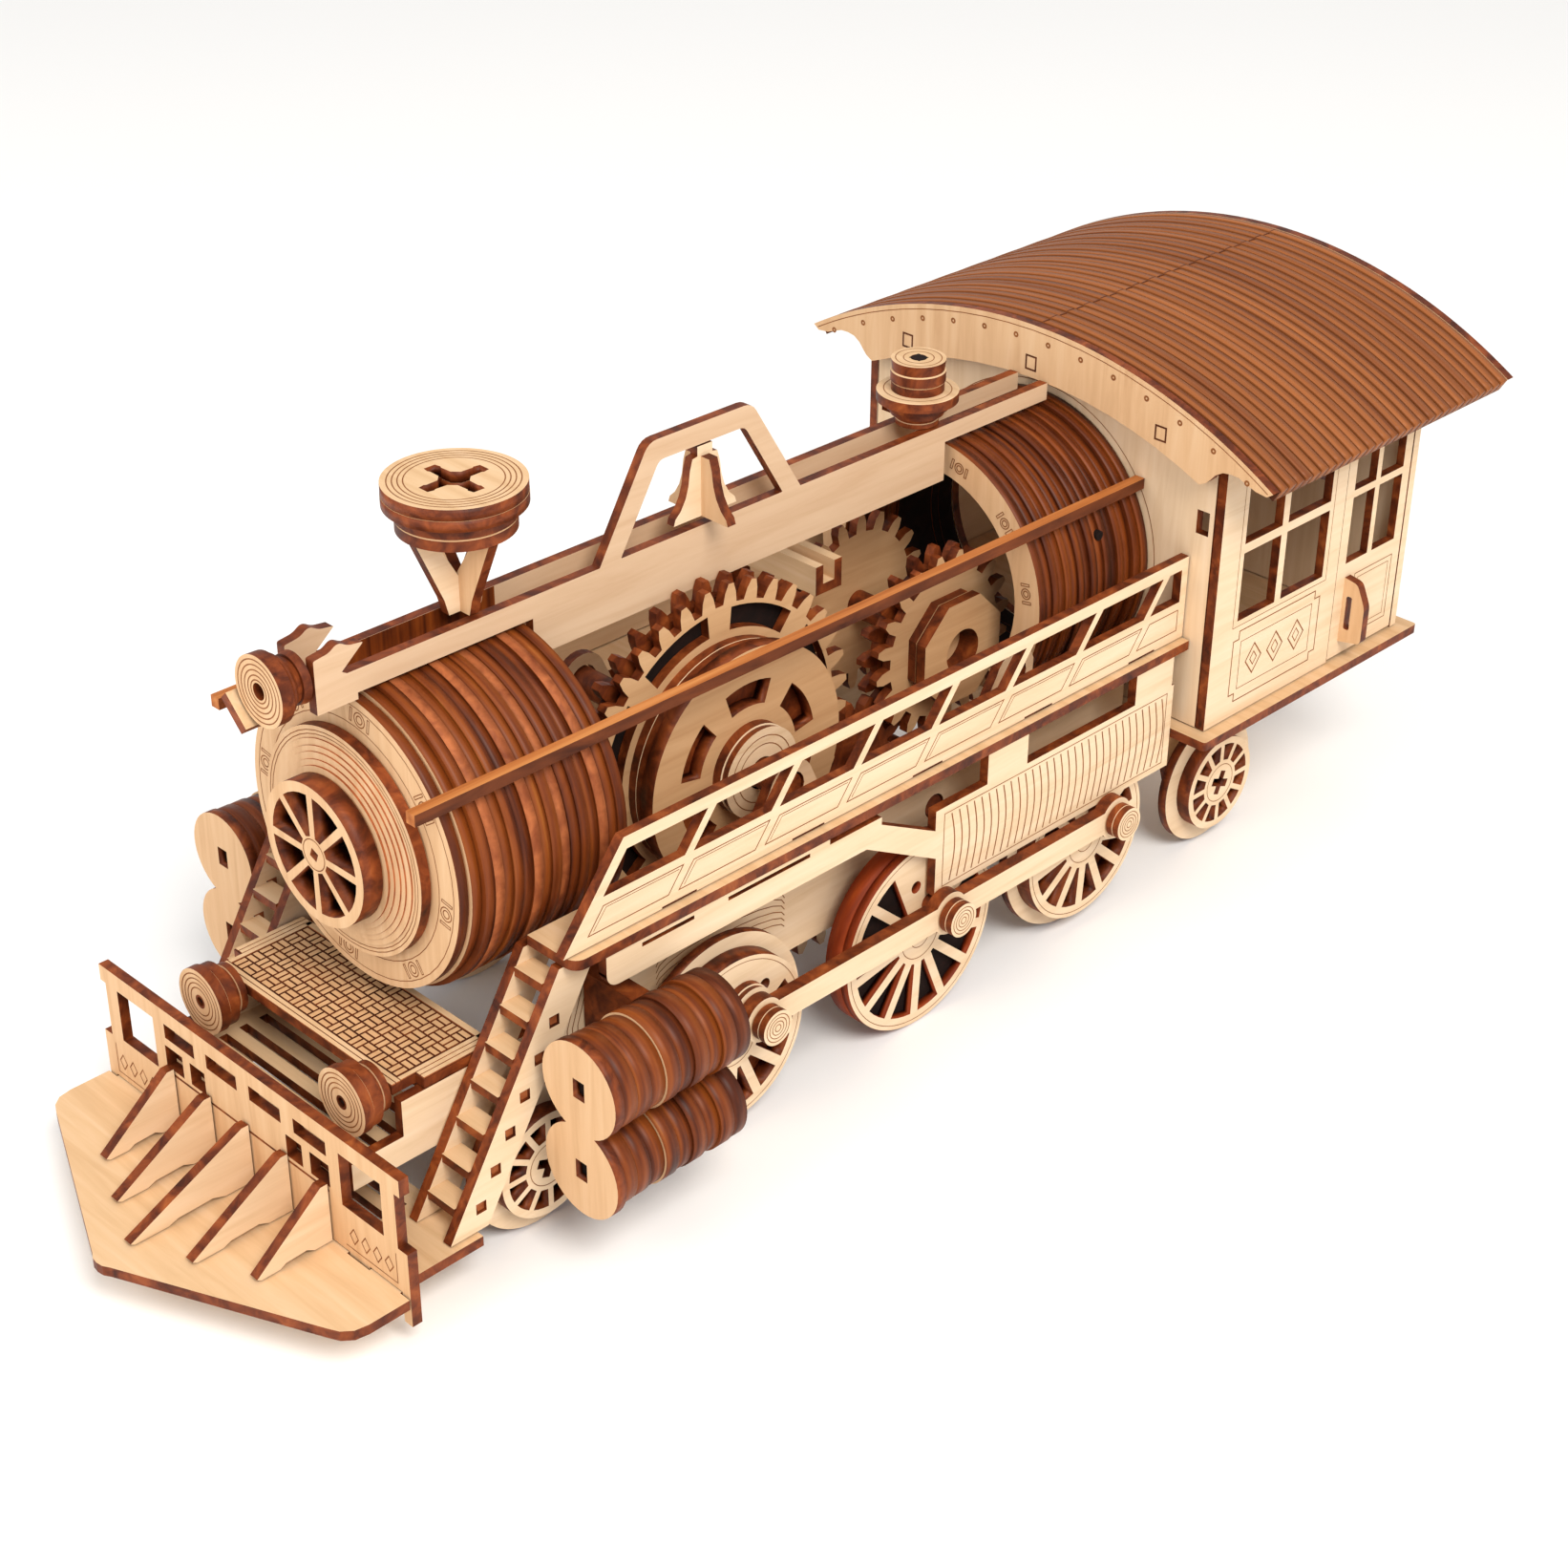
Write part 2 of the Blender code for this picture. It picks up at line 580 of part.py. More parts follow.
# ---------------------------------------------------------------- cylinders
def build_cylinders():
    zu, zl = 39.4, 22.8
    cy = 49.5
    front_x = 92.0
    for label, s in sides():
        r = 9.0
        h = (zu - zl) / 2.0
        meet = math.asin(h / r)
        upper = arc(s * cy, zu, r, -meet, math.pi + meet, 14)
        lower = arc(s * cy, zl, r, math.pi - meet, 2.0 * math.pi + meet, 14)
        outline = upper[:-1] + lower[:-1]
        holes = [rect(s * cy - 1.3, z - 1.8, s * cy + 1.3, z + 1.8) for z in (zu, zl)]
        face = plate("yz", outline, holes, front_x - PLY, front_x)
        stack = [(61.0, 0.0)] + ribbed(61.0, front_x - PLY + LAP, 3, 8.7, 0.6) + [(front_x - PLY + LAP, 0.0)]
        drum = lathe("x", (s * cy, zu), stack, 16)
        web = plate("xz", rect(69.0, 32.0, 73.0, 44.0), [], *span(s, FRAME_Y[1] + FIT, cy - 4.0))
        body("cylinder_%s_upper" % label, [drum, face, web], "burnt")
        back = front_x - PLY - FIT
        stack = [(61.0, 0.0)] + ribbed(61.0, back, 3, 7.9, 0.6) + [(back, 0.0)]
        body("cylinder_%s_lower" % label, [lathe("x", (s * cy, zl - 0.4), stack, 16)], "burnt")


# ---------------------------------------------------------------- cab
def roof_z(y, radius):
    return ROOF_CZ + math.sqrt(radius ** 2 - y ** 2)


def build_cab():
    x0, x1 = CAB_X
    z0 = CAB_FLOOR[1] + FIT
    body("cab_floor", [plate("xy", rect(-148.3, -49.8, -73.9, 49.8), [], *CAB_FLOOR)])
    inner = CAB_Y - PLY - FIT
    def wall(half, hole_list, lo, hi, name):
        top = [(y, roof_z(y, ROOF_R - 3.6)) for y in (half, half * 0.75, half * 0.5, half * 0.25)]
        top += [(0.0, roof_z(0.0, ROOF_R - 3.6))]
        top += [(-y, z) for y, z in reversed(top[:-1])]
        body(name, [plate("yz", [(-half, z0), (half, z0)] + top, hole_list, lo, hi)])
    ports = [circle(0.0, BOILER_Z, BOILER_IN, 24)]
    ports += [rect(s * 41.9 - 1.5, 80.2, s * 41.9 + 1.5, 85.2) for s in (1.0, -1.0)]
    wall(inner, ports, x1 - PLY, x1, "cab_front_wall")
    windows = [rect(s * 24.0 - 9.0, 66.0, s * 24.0 + 9.0, 90.0) for s in (1.0, -1.0)]
    wall(inner, windows, x0, x0 + PLY, "cab_rear_wall")
    top = roof_z(CAB_Y, ROOF_R - 3.0) - 0.7
    d0, d1 = DOOR_X
    outline = [(x0, z0), (d0 - FIT, z0), (d0 - FIT, DOOR_Z[1] + FIT), (d1 + FIT, DOOR_Z[1] + FIT), (d1 + FIT, z0)]
    outline += [(x1, z0), (x1, top), (x0, top)]
    panes = []
    for a, b in ((-97.4, -85.2), (-113.8, -99.4)):
        for c, d in ((60.2, 75.2), (77.2, 91.2)):
            panes.append(rect(min(a, b), c, max(a, b), d))
    for label, s in sides():
        body("cab_side_" + label, [plate("xz", outline, panes, *span(s, CAB_Y - PLY, CAB_Y))])
        build_door(label, s)


def build_door(label, s):
    d0, d1 = DOOR_X
    y0, y1 = DOOR_Y
    panes = []
    for a, b in ((-139.6, -131.4), (-129.8, -122.2)):
        for c, d in ((60.2, 75.2), (76.8, 89.4)):
            panes.append(rect(a, c, b, d))
    leaf = plate("xz", rect(d0, DOOR_Z[0], d1, DOOR_Z[1]), panes, *span(s, y0, y1))
    grip_out = [(s * (y1 - 0.4), 42.0), (s * 52.2, 43.2), (s * 52.2, 51.6), (s * 50.0, 56.4), (s * (y1 - 0.4), 57.0)]
    grip_in = rect(s * 48.4 - 0.7, 45.4, s * 48.4 + 0.7, 53.0)
    grip = plate("yz", grip_out, [grip_in], -124.6, -122.6)
    body("cab_door_" + label, [leaf, grip], "face", (d0, s * y1, DOOR_Z[0]))


def fascia_outline():
    top = [(y, roof_z(y, ROOF_R)) for y in [ROOF_HALF * math.sin(math.pi / 2 * k / 8) for k in range(9)]]
    low = []
    for y in (43.0, 36.0, 27.0, 18.0, 9.0, 0.0):
        low.append((y, roof_z(y, ROOF_R - 11.0)))
    curl = [(58.6, 95.0), (54.0, 96.0), (50.0, 96.9), (46.6, 95.6), (44.6, 93.4)]
    right = top + curl + low
    return right + [(-y, z) for y, z in reversed(right[1:-1])]


def build_roof():
    front = ROOF_X[1]
    rear = ROOF_X[0]
    marks = [rect(y - 1.1, roof_z(y, ROOF_R) - 10.1, y + 1.1, roof_z(y, ROOF_R) - 6.7) for y in (-33.0, 0.0, 33.0)]
    body("roof_fascia_front", [plate("yz", fascia_outline(), marks, front - PLY, front)])
    body("roof_fascia_rear", [plate("yz", fascia_outline(), marks, rear, rear + PLY)])
    half = math.asin(ROOF_HALF / ROOF_R)
    outer = arc(0.0, ROOF_CZ, ROOF_R, math.pi / 2 - half, math.pi / 2 + half, 16)
    inner = arc(0.0, ROOF_CZ, ROOF_R - 3.0, math.pi / 2 + half, math.pi / 2 - half, 16)
    body("roof", [plate("yz", outer + inner, [], rear + PLY + FIT, front - PLY - FIT)], "burnt")


# ---------------------------------------------------------------- gears
def involute(angle):
    return math.tan(angle) - angle


def gear_outline(cx, cz, teeth, phase, slack=0.16):
    """Spur outline with four points a tooth; slack is the backlash taken off each tooth in millimetres."""
    pitch = MODULE * teeth / 2.0
    base = pitch * math.cos(PRESSURE)
    tip = pitch + 0.95 * MODULE
    root = pitch - 1.2 * MODULE
    out = []
    stations = []
    for radius in (root, tip):
        angle = math.acos(min(1.0, base / max(radius, base)))
        half = math.pi / (2.0 * teeth) + involute(PRESSURE) - involute(angle) - slack / (2.0 * pitch)
        stations.append((radius, half))
    for k in range(teeth):
        mid = phase + 2.0 * math.pi * k / teeth
        for (radius, half), side in ((stations[0], -1), (stations[1], -1), (stations[1], 1), (stations[0], 1)):
            out.append((cx + radius * math.cos(mid + side * half), cz + radius * math.sin(mid + side * half)))
    return out


def gear_centres():
    dx = MAIN_X - DRIVER_X[1]
    reach = MODULE * (TEETH_PINION + TEETH_MAIN) / 2.0
    z = DRIVER_Z + math.sqrt(reach ** 2 - dx ** 2)
    a = MODULE * (TEETH_MAIN + TEETH_IDLER) / 2.0
    b = MODULE * (TEETH_COUNTER + TEETH_IDLER) / 2.0
    c = MAIN_X - COUNTER_X
    along = (a ** 2 + c ** 2 - b ** 2) / (2.0 * c)
    drop = math.sqrt(a ** 2 - along ** 2)
    return {"pinion": (DRIVER_X[1], DRIVER_Z), "main": (MAIN_X, z), "counter": (COUNTER_X, z),
            "idler": (MAIN_X - along, z - drop)}


def mate_phase(c1, n1, phase1, c2, n2):
    """Phase of gear 2 that puts one of its gaps on a tooth of gear 1 along the line of centres."""
    line = math.atan2(c2[1] - c1[1], c2[0] - c1[0])
    return line + math.pi - (math.pi - n1 * (line - phase1)) / n2


def arc_slot(cx, cz, r0, r1, a0, a1, count):
    return arc(cx, cz, r1, a0, a1, count) + arc(cx, cz, r0, a1, a0, count)


def build_gears():
    c = gear_centres()
    main_phase = math.pi / 2
    front_phase = main_phase + math.pi / TEETH_MAIN
    pinion_phase = mate_phase(c["main"], TEETH_MAIN, front_phase, c["pinion"], TEETH_PINION)
    idler_phase = mate_phase(c["main"], TEETH_MAIN, main_phase, c["idler"], TEETH_IDLER)
    counter_phase = mate_phase(c["idler"], TEETH_IDLER, idler_phase, c["counter"], TEETH_COUNTER)
    mx, mz = c["main"]
    windows = [arc_slot(mx, mz, 25.2, 28.2, a - 0.26, a + 0.26, 2) for a in [math.pi * (2 * k + 1) / 8 for k in range(8)]]
    front = plate("xz", gear_outline(mx, mz, TEETH_MAIN, front_phase), windows, *GEAR_FRONT_PLANE)
    back = plate("xz", gear_outline(mx, mz, TEETH_MAIN, main_phase), [], *GEAR_PLANE)
    slots = [arc_slot(mx, mz, 12.4, 16.6, a - 0.33, a + 0.33, 2) for a in [math.pi * (2 * k + 1) / 6 for k in range(6)]]
    disc = plate("xz", circle(mx, mz, 23.6, 28), slots, 15.0, 18.0)
    drum = lathe("y", (mx, mz), [(10.6 - LAP, 0.0), (10.6 - LAP, 22.6), (15.0 + LAP, 22.6), (15.0 + LAP, 0.0)], 24)
    hub = lathe("y", (mx, mz), [(18.0 - LAP, 0.0), (18.0 - LAP, 9.0), (21.5, 9.0), (21.5, 0.0)], 16)
    shaft = lathe("y", (mx, mz), [(-28.7, 0.0), (-28.7, 2.8), (28.7, 2.8), (28.7, 0.0)], 10)
    link_drum = lathe("y", (mx, mz), [(7.05, 0.0), (7.05, 20.0), (8.7, 20.0), (8.7, 0.0)], 16)
    body("flywheel_gear", [front, back, disc, drum, hub, shaft, link_drum], "face", (mx, 0.0, mz))
    kx, kz = c["counter"]
    half_tooth = math.pi / TEETH_COUNTER
    front = plate("xz", gear_outline(kx, kz, TEETH_COUNTER, counter_phase + half_tooth), [], *GEAR_FRONT_PLANE)
    back = plate("xz", gear_outline(kx, kz, TEETH_COUNTER, counter_phase), [], *GEAR_PLANE)
    far = plate("xz", gear_outline(kx, kz, TEETH_COUNTER, counter_phase), [], -15.0, -13.0)
    octagon = plate("xz", circle(kx, kz, 10.4, 8, math.pi / 8), [circle(kx, kz, 4.4, 16)], 10.6 - LAP, 15.5)
    core = lathe("y", (kx, kz), [(7.05, 0.0), (7.05, 12.0), (8.7, 12.0), (8.7, 0.0)], 16)
    shaft = lathe("y", (kx, kz), [(-28.7, 0.0), (-28.7, 2.8), (8.0, 2.8), (8.0, 0.0)], 10)
    body("counter_gear", [front, back, far, octagon, core, shaft], "face", (kx, 0.0, kz))
    ix, iz = c["idler"]
    wheel = plate("xz", gear_outline(ix, iz, TEETH_IDLER, idler_phase), [], GEAR_PLANE[0] - 0.1, GEAR_PLANE[1] + 0.1)
    shaft = lathe("y", (ix, iz), [(-28.7, 0.0), (-28.7, AXLE_R), (28.7, AXLE_R), (28.7, 0.0)], 10)
    body("idler_gear", [wheel, shaft], "face", (ix, 0.0, iz))
    return pinion_phase


# ---------------------------------------------------------------- wheels and rods
def window_ring(cx, cz, r0, r1, count, gap, start=0.0):
    out = []
    for k in range(count):
        a = start + 2.0 * math.pi * k / count
        w0 = math.pi / count - gap / (2.0 * r0)
        w1 = math.pi / count - gap / (2.0 * r1)
        out.append([(cx + r0 * math.cos(a - w0), cz + r0 * math.sin(a - w0)),
                    (cx + r1 * math.cos(a - w1), cz + r1 * math.sin(a - w1)),
                    (cx + r1 * math.cos(a + w1), cz + r1 * math.sin(a + w1)),
                    (cx + r0 * math.cos(a + w0), cz + r0 * math.sin(a + w0))])
    return out


def build_small_wheelset(name, x, face_y):
    z = SMALL_FLANGE_R
    back = face_y - 5.2
    hub = back + 0.6
    pieces = [lathe("y", (x, z), [(-hub, 0.0), (-hub, AXLE_R), (hub, AXLE_R), (hub, 0.0)], 10, 0.13)]
    for _, s in sides():
        pieces.append(plate("xz", circle(x, z, SMALL_FLANGE_R, 24), [], *span(s, back, back + 2.0)))
        panes = window_ring(x, z, 5.4, 9.0, 12, 1.3, math.pi / 12)
        pieces.append(plate("xz", circle(x, z, SMALL_TREAD_R, 22), panes, *span(s, back + 2.0 - LAP, face_y)))
    body(name, pieces, "face", (x, 0.0, z))


def build_driver(index, pinion_phase):
    x = DRIVER_X[index]
    z = DRIVER_Z
    px = x + CRANK * math.cos(CRANK_ANGLE)
    pz = z + CRANK * math.sin(CRANK_ANGLE)
    pieces = [lathe("y", (x, z), [(-33.6, 0.0), (-33.6, AXLE_R), (33.6, AXLE_R), (33.6, 0.0)], 10)]
    for _, s in sides():
        pieces.append(plate("xz", circle(x, z, FLANGE_R, 28), [], *span(s, 33.0, 34.9 if index != 1 else 36.7)))
        tread = TREAD_R if index != 1 else FLANGE_R - 0.1
        rim = tread - 2.4
        panes = [p for k, p in enumerate(window_ring(x, z, 6.0, rim, 12, 1.9, CRANK_ANGLE)) if k not in (0, 1, 11)]
        face = plate("xz", circle(x, z, tread, 24), panes, *span(s, 34.9 - LAP if index != 1 else 36.7 - LAP, 38.6))
        pieces.append(face)
        pin = [(38.6 - LAP, 0.0), (38.6 - LAP, PIN_R), (44.6, PIN_R), (44.6, 3.5), (47.6, 3.5), (47.6, 0.0)]
        if index == 0:
            pin = [(38.6 - LAP, 0.0), (38.6 - LAP, 5.2), (41.2, 5.2), (41.2, PIN_R)] + pin[2:]
        cap = lathe("y", (px, pz), pin, 12)
        pieces.append(cap if s > 0 else mirror_y(cap))
    if index == 1:
        pinion = gear_outline(x, z, TEETH_PINION, pinion_phase)
        pieces.append(plate("xz", pinion, [], GEAR_FRONT_PLANE[0] - 0.1, GEAR_FRONT_PLANE[1] + 0.1))
    body("driver_wheelset_%d" % (index + 1), pieces, "face", (x, 0.0, z))


def build_rods():
    ends = [x + CRANK * math.cos(CRANK_ANGLE) for x in DRIVER_X]
    z = DRIVER_Z + CRANK * math.sin(CRANK_ANGLE)
    eye = 4.4
    half = 2.5
    turn = math.asin(half / eye)
    outline = arc(ends[0], z, eye, -math.pi + turn, math.pi - turn, 14)
    bump_top = arc(ends[1], z, eye, turn, math.pi - turn, 8)
    bump_low = arc(ends[1], z, eye, math.pi + turn, 2.0 * math.pi - turn, 8)
    rear = arc(ends[2], z, eye, turn, 2.0 * math.pi - turn, 14)
    outline = outline + bump_top + rear + bump_low
    holes = [circle(x, z, PIN_R + 0.45, 12) for x in ends]
    for label, s in sides():
        body("coupling_rod_" + label, [plate("xz", outline, holes, *span(s, *ROD_Y))], "face", (ends[1], 0.0, z))


def main():
    clear_scene()
    build_pilot()
    build_front_frame()
    build_stairs()
    build_boiler()
    build_top_beams()
    build_bell()
    build_funnel()
    build_dome_and_lamp()
    build_walkways()
    build_railings()
    build_skirts()
    build_frames()
    build_cylinders()
    build_cab()
    build_roof()
    pinion_phase = build_gears()
    build_small_wheelset("pilot_wheelset", PILOT_WHEEL_X, 35.9)
    for index in range(3):
        build_driver(index, pinion_phase)
    build_small_wheelset("trailing_wheelset", TRAILING_WHEEL_X, 38.1)
    build_rods()


main()
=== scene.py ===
"""Looks of the wooden locomotive puzzle: plywood plates with pale faces and burnt cut edges.

Lengths are millimetres in the CAD frame (+X front, +Y left, +Z up) and become metres when a mesh is made.
"""
import json
from math import acos, asin, atan2, cos, pi, radians, sin, sqrt, tan

import bpy
from mathutils import Matrix, Vector
from mathutils.geometry import delaunay_2d_cdt


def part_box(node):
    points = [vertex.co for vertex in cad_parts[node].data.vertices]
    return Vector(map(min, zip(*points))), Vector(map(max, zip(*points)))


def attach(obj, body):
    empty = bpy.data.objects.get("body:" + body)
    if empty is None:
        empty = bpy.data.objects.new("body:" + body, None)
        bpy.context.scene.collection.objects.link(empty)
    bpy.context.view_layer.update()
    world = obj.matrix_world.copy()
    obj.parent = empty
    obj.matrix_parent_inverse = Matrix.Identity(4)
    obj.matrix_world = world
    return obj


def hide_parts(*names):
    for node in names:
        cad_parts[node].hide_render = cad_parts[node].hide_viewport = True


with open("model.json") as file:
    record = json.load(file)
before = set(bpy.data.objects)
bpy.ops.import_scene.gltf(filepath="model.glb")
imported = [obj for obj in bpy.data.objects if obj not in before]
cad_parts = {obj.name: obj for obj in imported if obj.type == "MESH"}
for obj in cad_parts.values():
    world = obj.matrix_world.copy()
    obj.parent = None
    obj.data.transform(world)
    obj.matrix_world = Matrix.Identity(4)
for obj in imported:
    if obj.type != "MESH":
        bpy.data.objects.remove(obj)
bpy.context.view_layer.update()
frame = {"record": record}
RECORD = frame["record"]
BODY = {n: b for b, nodes in RECORD["behaviour"]["bodies"].items() for n in nodes}
JOINT = {j["name"]: j for j in RECORD["behaviour"]["joints"]}
MM = 0.001
LIFT = 0.03  # engraved lines lie this far off their face


def B(node):
    """Box of a CAD node in millimetres: x0, y0, z0, x1, y1, z1."""
    lo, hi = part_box(node)
    return [c * 1000 for c in lo] + [c * 1000 for c in hi]


def joint_pos(name):
    """Place of a joint in millimetres."""
    return [c * 1000 for c in JOINT[name]["pos_m"]]


# --- materials
def new_mat(name):
    mat = bpy.data.materials.new(name)
    mat.use_nodes = True
    return mat, mat.node_tree.nodes, mat.node_tree.links, mat.node_tree.nodes["Principled BSDF"]


def srgb(r, g, b):
    out = []
    for c in (r, g, b):
        c /= 255
        out.append(c / 12.92 if c <= 0.04045 else ((c + 0.055) / 1.055) ** 2.4)
    return tuple(out) + (1,)


def noise_node(nodes, links, coord, scale, detail):
    mapping = nodes.new("ShaderNodeMapping")
    mapping.inputs["Scale"].default_value = scale
    links.new(coord.outputs["Object"], mapping.inputs["Vector"])
    noise = nodes.new("ShaderNodeTexNoise")
    noise.inputs["Scale"].default_value = 1
    noise.inputs["Detail"].default_value = detail
    links.new(mapping.outputs["Vector"], noise.inputs["Vector"])
    return noise


def scaled(nodes, links, value, factor, added=None):
    """value * factor, plus added where there is one."""
    node = nodes.new("ShaderNodeMath")
    node.operation = "MULTIPLY_ADD" if added else "MULTIPLY"
    node.inputs[1].default_value = factor
    links.new(value, node.inputs[0])
    if added:
        links.new(added, node.inputs[2])
    return node.outputs[0]


def wood(name, stops, scale, bump=0.08, rough=0.62, distortion=0.6, detail=6, bands=None):
    """Wood from stretched noise: stops are (position, sRGB colour); scale stretches the grain in object space."""
    mat, nodes, links, shader = new_mat(name)
    coord = nodes.new("ShaderNodeTexCoord")
    noise = noise_node(nodes, links, coord, scale, detail)
    noise.inputs["Roughness"].default_value = 0.6
    noise.inputs["Distortion"].default_value = distortion
    value = noise.outputs["Fac"]
    if bands:
        stripes = noise_node(nodes, links, coord, bands, 2)
        value = scaled(nodes, links, stripes.outputs["Fac"], 0.55, scaled(nodes, links, value, 0.45))
    ramp = nodes.new("ShaderNodeValToRGB")
    elements = ramp.color_ramp.elements
    for element, (pos, colour) in zip(elements, (stops[0], stops[-1])):
        element.position = pos
        element.color = srgb(*colour)
    for pos, colour in stops[1:-1]:
        elements.new(pos).color = srgb(*colour)
    links.new(value, ramp.inputs["Fac"])
    links.new(ramp.outputs["Color"], shader.inputs["Base Color"])
    bump_node = nodes.new("ShaderNodeBump")
    bump_node.inputs["Strength"].default_value = bump
    bump_node.inputs["Distance"].default_value = 0.0003
    links.new(noise.outputs["Fac"], bump_node.inputs["Height"])
    links.new(bump_node.outputs["Normal"], shader.inputs["Normal"])
    shader.inputs["Roughness"].default_value = rough
    shader.inputs["Specular IOR Level"].default_value = 0.22
    shader.inputs["Metallic"].default_value = 0
    return mat


# Tones of the one plywood veneer by facing: side faces lightest, front and top faces darker copies, as painted
# light and shade.
SIDE = [(0.25, (214, 182, 144)), (0.5, (226, 197, 162)), (0.75, (233, 207, 176))]
END_SHADED = [(0.25, (200, 158, 116)), (0.5, (214, 174, 132)), (0.75, (222, 186, 146))]
TOP_SHADED = [(0.25, (198, 160, 118)), (0.5, (211, 175, 134)), (0.75, (220, 187, 150))]
EDGE = [(0.26, (44, 14, 4)), (0.44, (92, 38, 13)), (0.6, (128, 60, 24)), (0.76, (158, 84, 38))]
RING = [(0.30, (34, 10, 3)), (0.42, (78, 31, 9)), (0.53, (114, 52, 16)), (0.64, (136, 68, 22)), (0.76,
        (178, 112, 44))]
WARM = [(0.25, (190, 145, 101)), (0.5, (202, 159, 115)), (0.75, (211, 169, 126))]
BEAM = [(0.25, (196, 160, 126)), (0.5, (206, 173, 140)), (0.75, (213, 182, 150))]
MATS = {
    # The three facings take lighter and darker copies of the same veneer: painted light and shade by facing.
    "face_y": wood("ply_face_side_lit", SIDE, (26, 500, 380)),
    "face_x": wood("ply_face_front_shaded", END_SHADED, (500, 380, 26)),
    "face_z": wood("ply_face_top_shaded", TOP_SHADED, (380, 26, 500)),
    "gear": wood("gear_face", WARM, (26, 500, 380)),
    "gear_top": wood("deck_top", WARM, (380, 26, 500)),
    "beam": wood("beam_face", BEAM, (26, 500, 380)),
    # The cab walls face front yet take the lighter side-face tones: painted light on the walls.
    "wall": wood("wall_face_lit", SIDE, (500, 380, 26)),
    "edge": wood("burnt_edge", EDGE, (230, 230, 230), 0.2, 0.5, detail=5),
    "edge_light": wood("burnt_edge_light", [(0.3, (122, 58, 28)), (0.7, (176, 100, 56))], (300, 300, 300),
            0.15),
    "ring": wood("ring_edge", RING, (150, 42, 42), 0.3, 0.46, bands=(700, 9, 9)),
    # Roof rib edges: burnt brown, lightened towards orange as painted sheen and highlights.
    "roof": wood("roof_edge_painted_sheen", [(0.30, (112, 58, 28)), (0.46, (138, 78, 38)), (0.6, (152, 88, 44)),
            (0.74, (170, 102, 54))],
                 (300, 14, 14), 0.25, 0.5, bands=(560, 5, 5)),
    "groove": wood("roof_groove", [(0.3, (70, 32, 14)), (0.7, (104, 54, 26))], (300, 60, 60), 0.1, 0.7),
    # Handrail: orange-brown stain, its rim lightened as painted light and its flat sides darkened as painted
    # shade.
    "bar": wood("stained_bar", [(0.3, (138, 72, 28)), (0.5, (176, 104, 50)), (0.72, (204, 138, 78))], (14, 320,
            320), 0.1),
    "bar_edge": wood("stained_rail_shaded_sides", [(0.3, (60, 24, 8)), (0.7, (116, 58, 26))], (60, 300, 300), 0.1),
    "tyre": wood("tyre_edge", [(0.3, (106, 34, 6)), (0.55, (138, 52, 12)), (0.75, (162, 72, 22))], (60, 400,
            60), 0.1),
    "line": wood("engraved_line", [(0.3, (112, 62, 30)), (0.7, (150, 94, 52))], (300, 300, 300), 0, 0.8),
    "dark_line": wood("deep_engraving", [(0.3, (58, 24, 10)), (0.7, (98, 48, 22))], (300, 300, 300), 0, 0.8),
    "dark": wood("shadowed_wood", [(0.3, (12, 6, 4)), (0.7, (34, 16, 10))], (300, 300, 300), 0, 0.9),
}


# --- outline helpers
def circle(cx, cy, radius, count=48, start=0):
    step = 2 * pi / count
    return [(cx + radius * cos(start + step * i), cy + radius * sin(start + step * i)) for i in range(count)]


def arc(cx, cy, radius, a0, a1, count):
    return [(cx + radius * cos(a0 + (a1 - a0) * i / count), cy + radius * sin(a0 + (a1 - a0) * i / count))
            for i in range(count + 1)]


def rect(x0, y0, x1, y1):
    return [(x0, y0), (x1, y0), (x1, y1), (x0, y1)]


def band(cx, cy, r0, r1, a0, a1, count=8):
    return arc(cx, cy, r1, a0, a1, count) + arc(cx, cy, r0, a1, a0, count)


def rounded(points, radius, steps=4):
    """Outline with its corners rounded; radius is one number or one for each corner (0 keeps it sharp)."""
    out = []
    n = len(points)
    for i, p in enumerate(points):
        r = radius[i] if isinstance(radius, (list, tuple)) else radius
        if r <= 0:
            out.append(p)
            continue
        a = Vector(points[i - 1]) - Vector(p)
        b = Vector(points[(i + 1) % n]) - Vector(p)
        cut = min(r, a.length * 0.45, b.length * 0.45)
        pa = Vector(p) + a.normalized() * cut
        pb = Vector(p) + b.normalized() * cut
        for k in range(steps + 1):
            t = k / steps
            q = pa * (1 - t) ** 2 + Vector(p) * 2 * t * (1 - t) + pb * t ** 2
            out.append((q.x, q.y))
    return out


def inside(loop, x, y):
    hit = False
    for i, (x0, y0) in enumerate(loop):
        x1, y1 = loop[i - 1]
        if (y0 > y) != (y1 > y) and x < (x1 - x0) * (y - y0) / (y1 - y0) + x0:
            hit = not hit
    return hit


def area(loop):
    return sum(loop[i - 1][0] * y - x * loop[i - 1][1] for i, (x, y) in enumerate(loop)) / 2


def triangles(loops):
    points = [Vector(p) for loop in loops for p in loop]
    edges = []
    start = 0
    for loop in loops:
        edges += [(start + i, start + (i + 1) % len(loop)) for i in range(len(loop))]
        start += len(loop)
    verts, _, faces, origin, _, _ = delaunay_2d_cdt(points, edges, [], 0, 1e-6, True)
    keep = []
    for face in faces:
        x = sum(verts[i].x for i in face) / 3
        y = sum(verts[i].y for i in face) / 3
        if inside(loops[0], x, y) and not any(inside(hole, x, y) for hole in loops[1:]):
            if all(origin[i] for i in face):
                keep.append([origin[i][0] for i in face])
    return keep


AXES = {"xz": (0, 2, 1), "yz": (1, 2, 0), "xy": (0, 1, 2)}
FACE = {"xz": "face_y", "yz": "face_x", "xy": "face_z"}


def placed(plane, point, depth):
    """Point of a plane, at a depth across it, as x, y, z."""
    v = [0, 0, 0]
    a, b, c = AXES[plane]
    v[a], v[b], v[c] = point[0], point[1], depth
    return tuple(v)


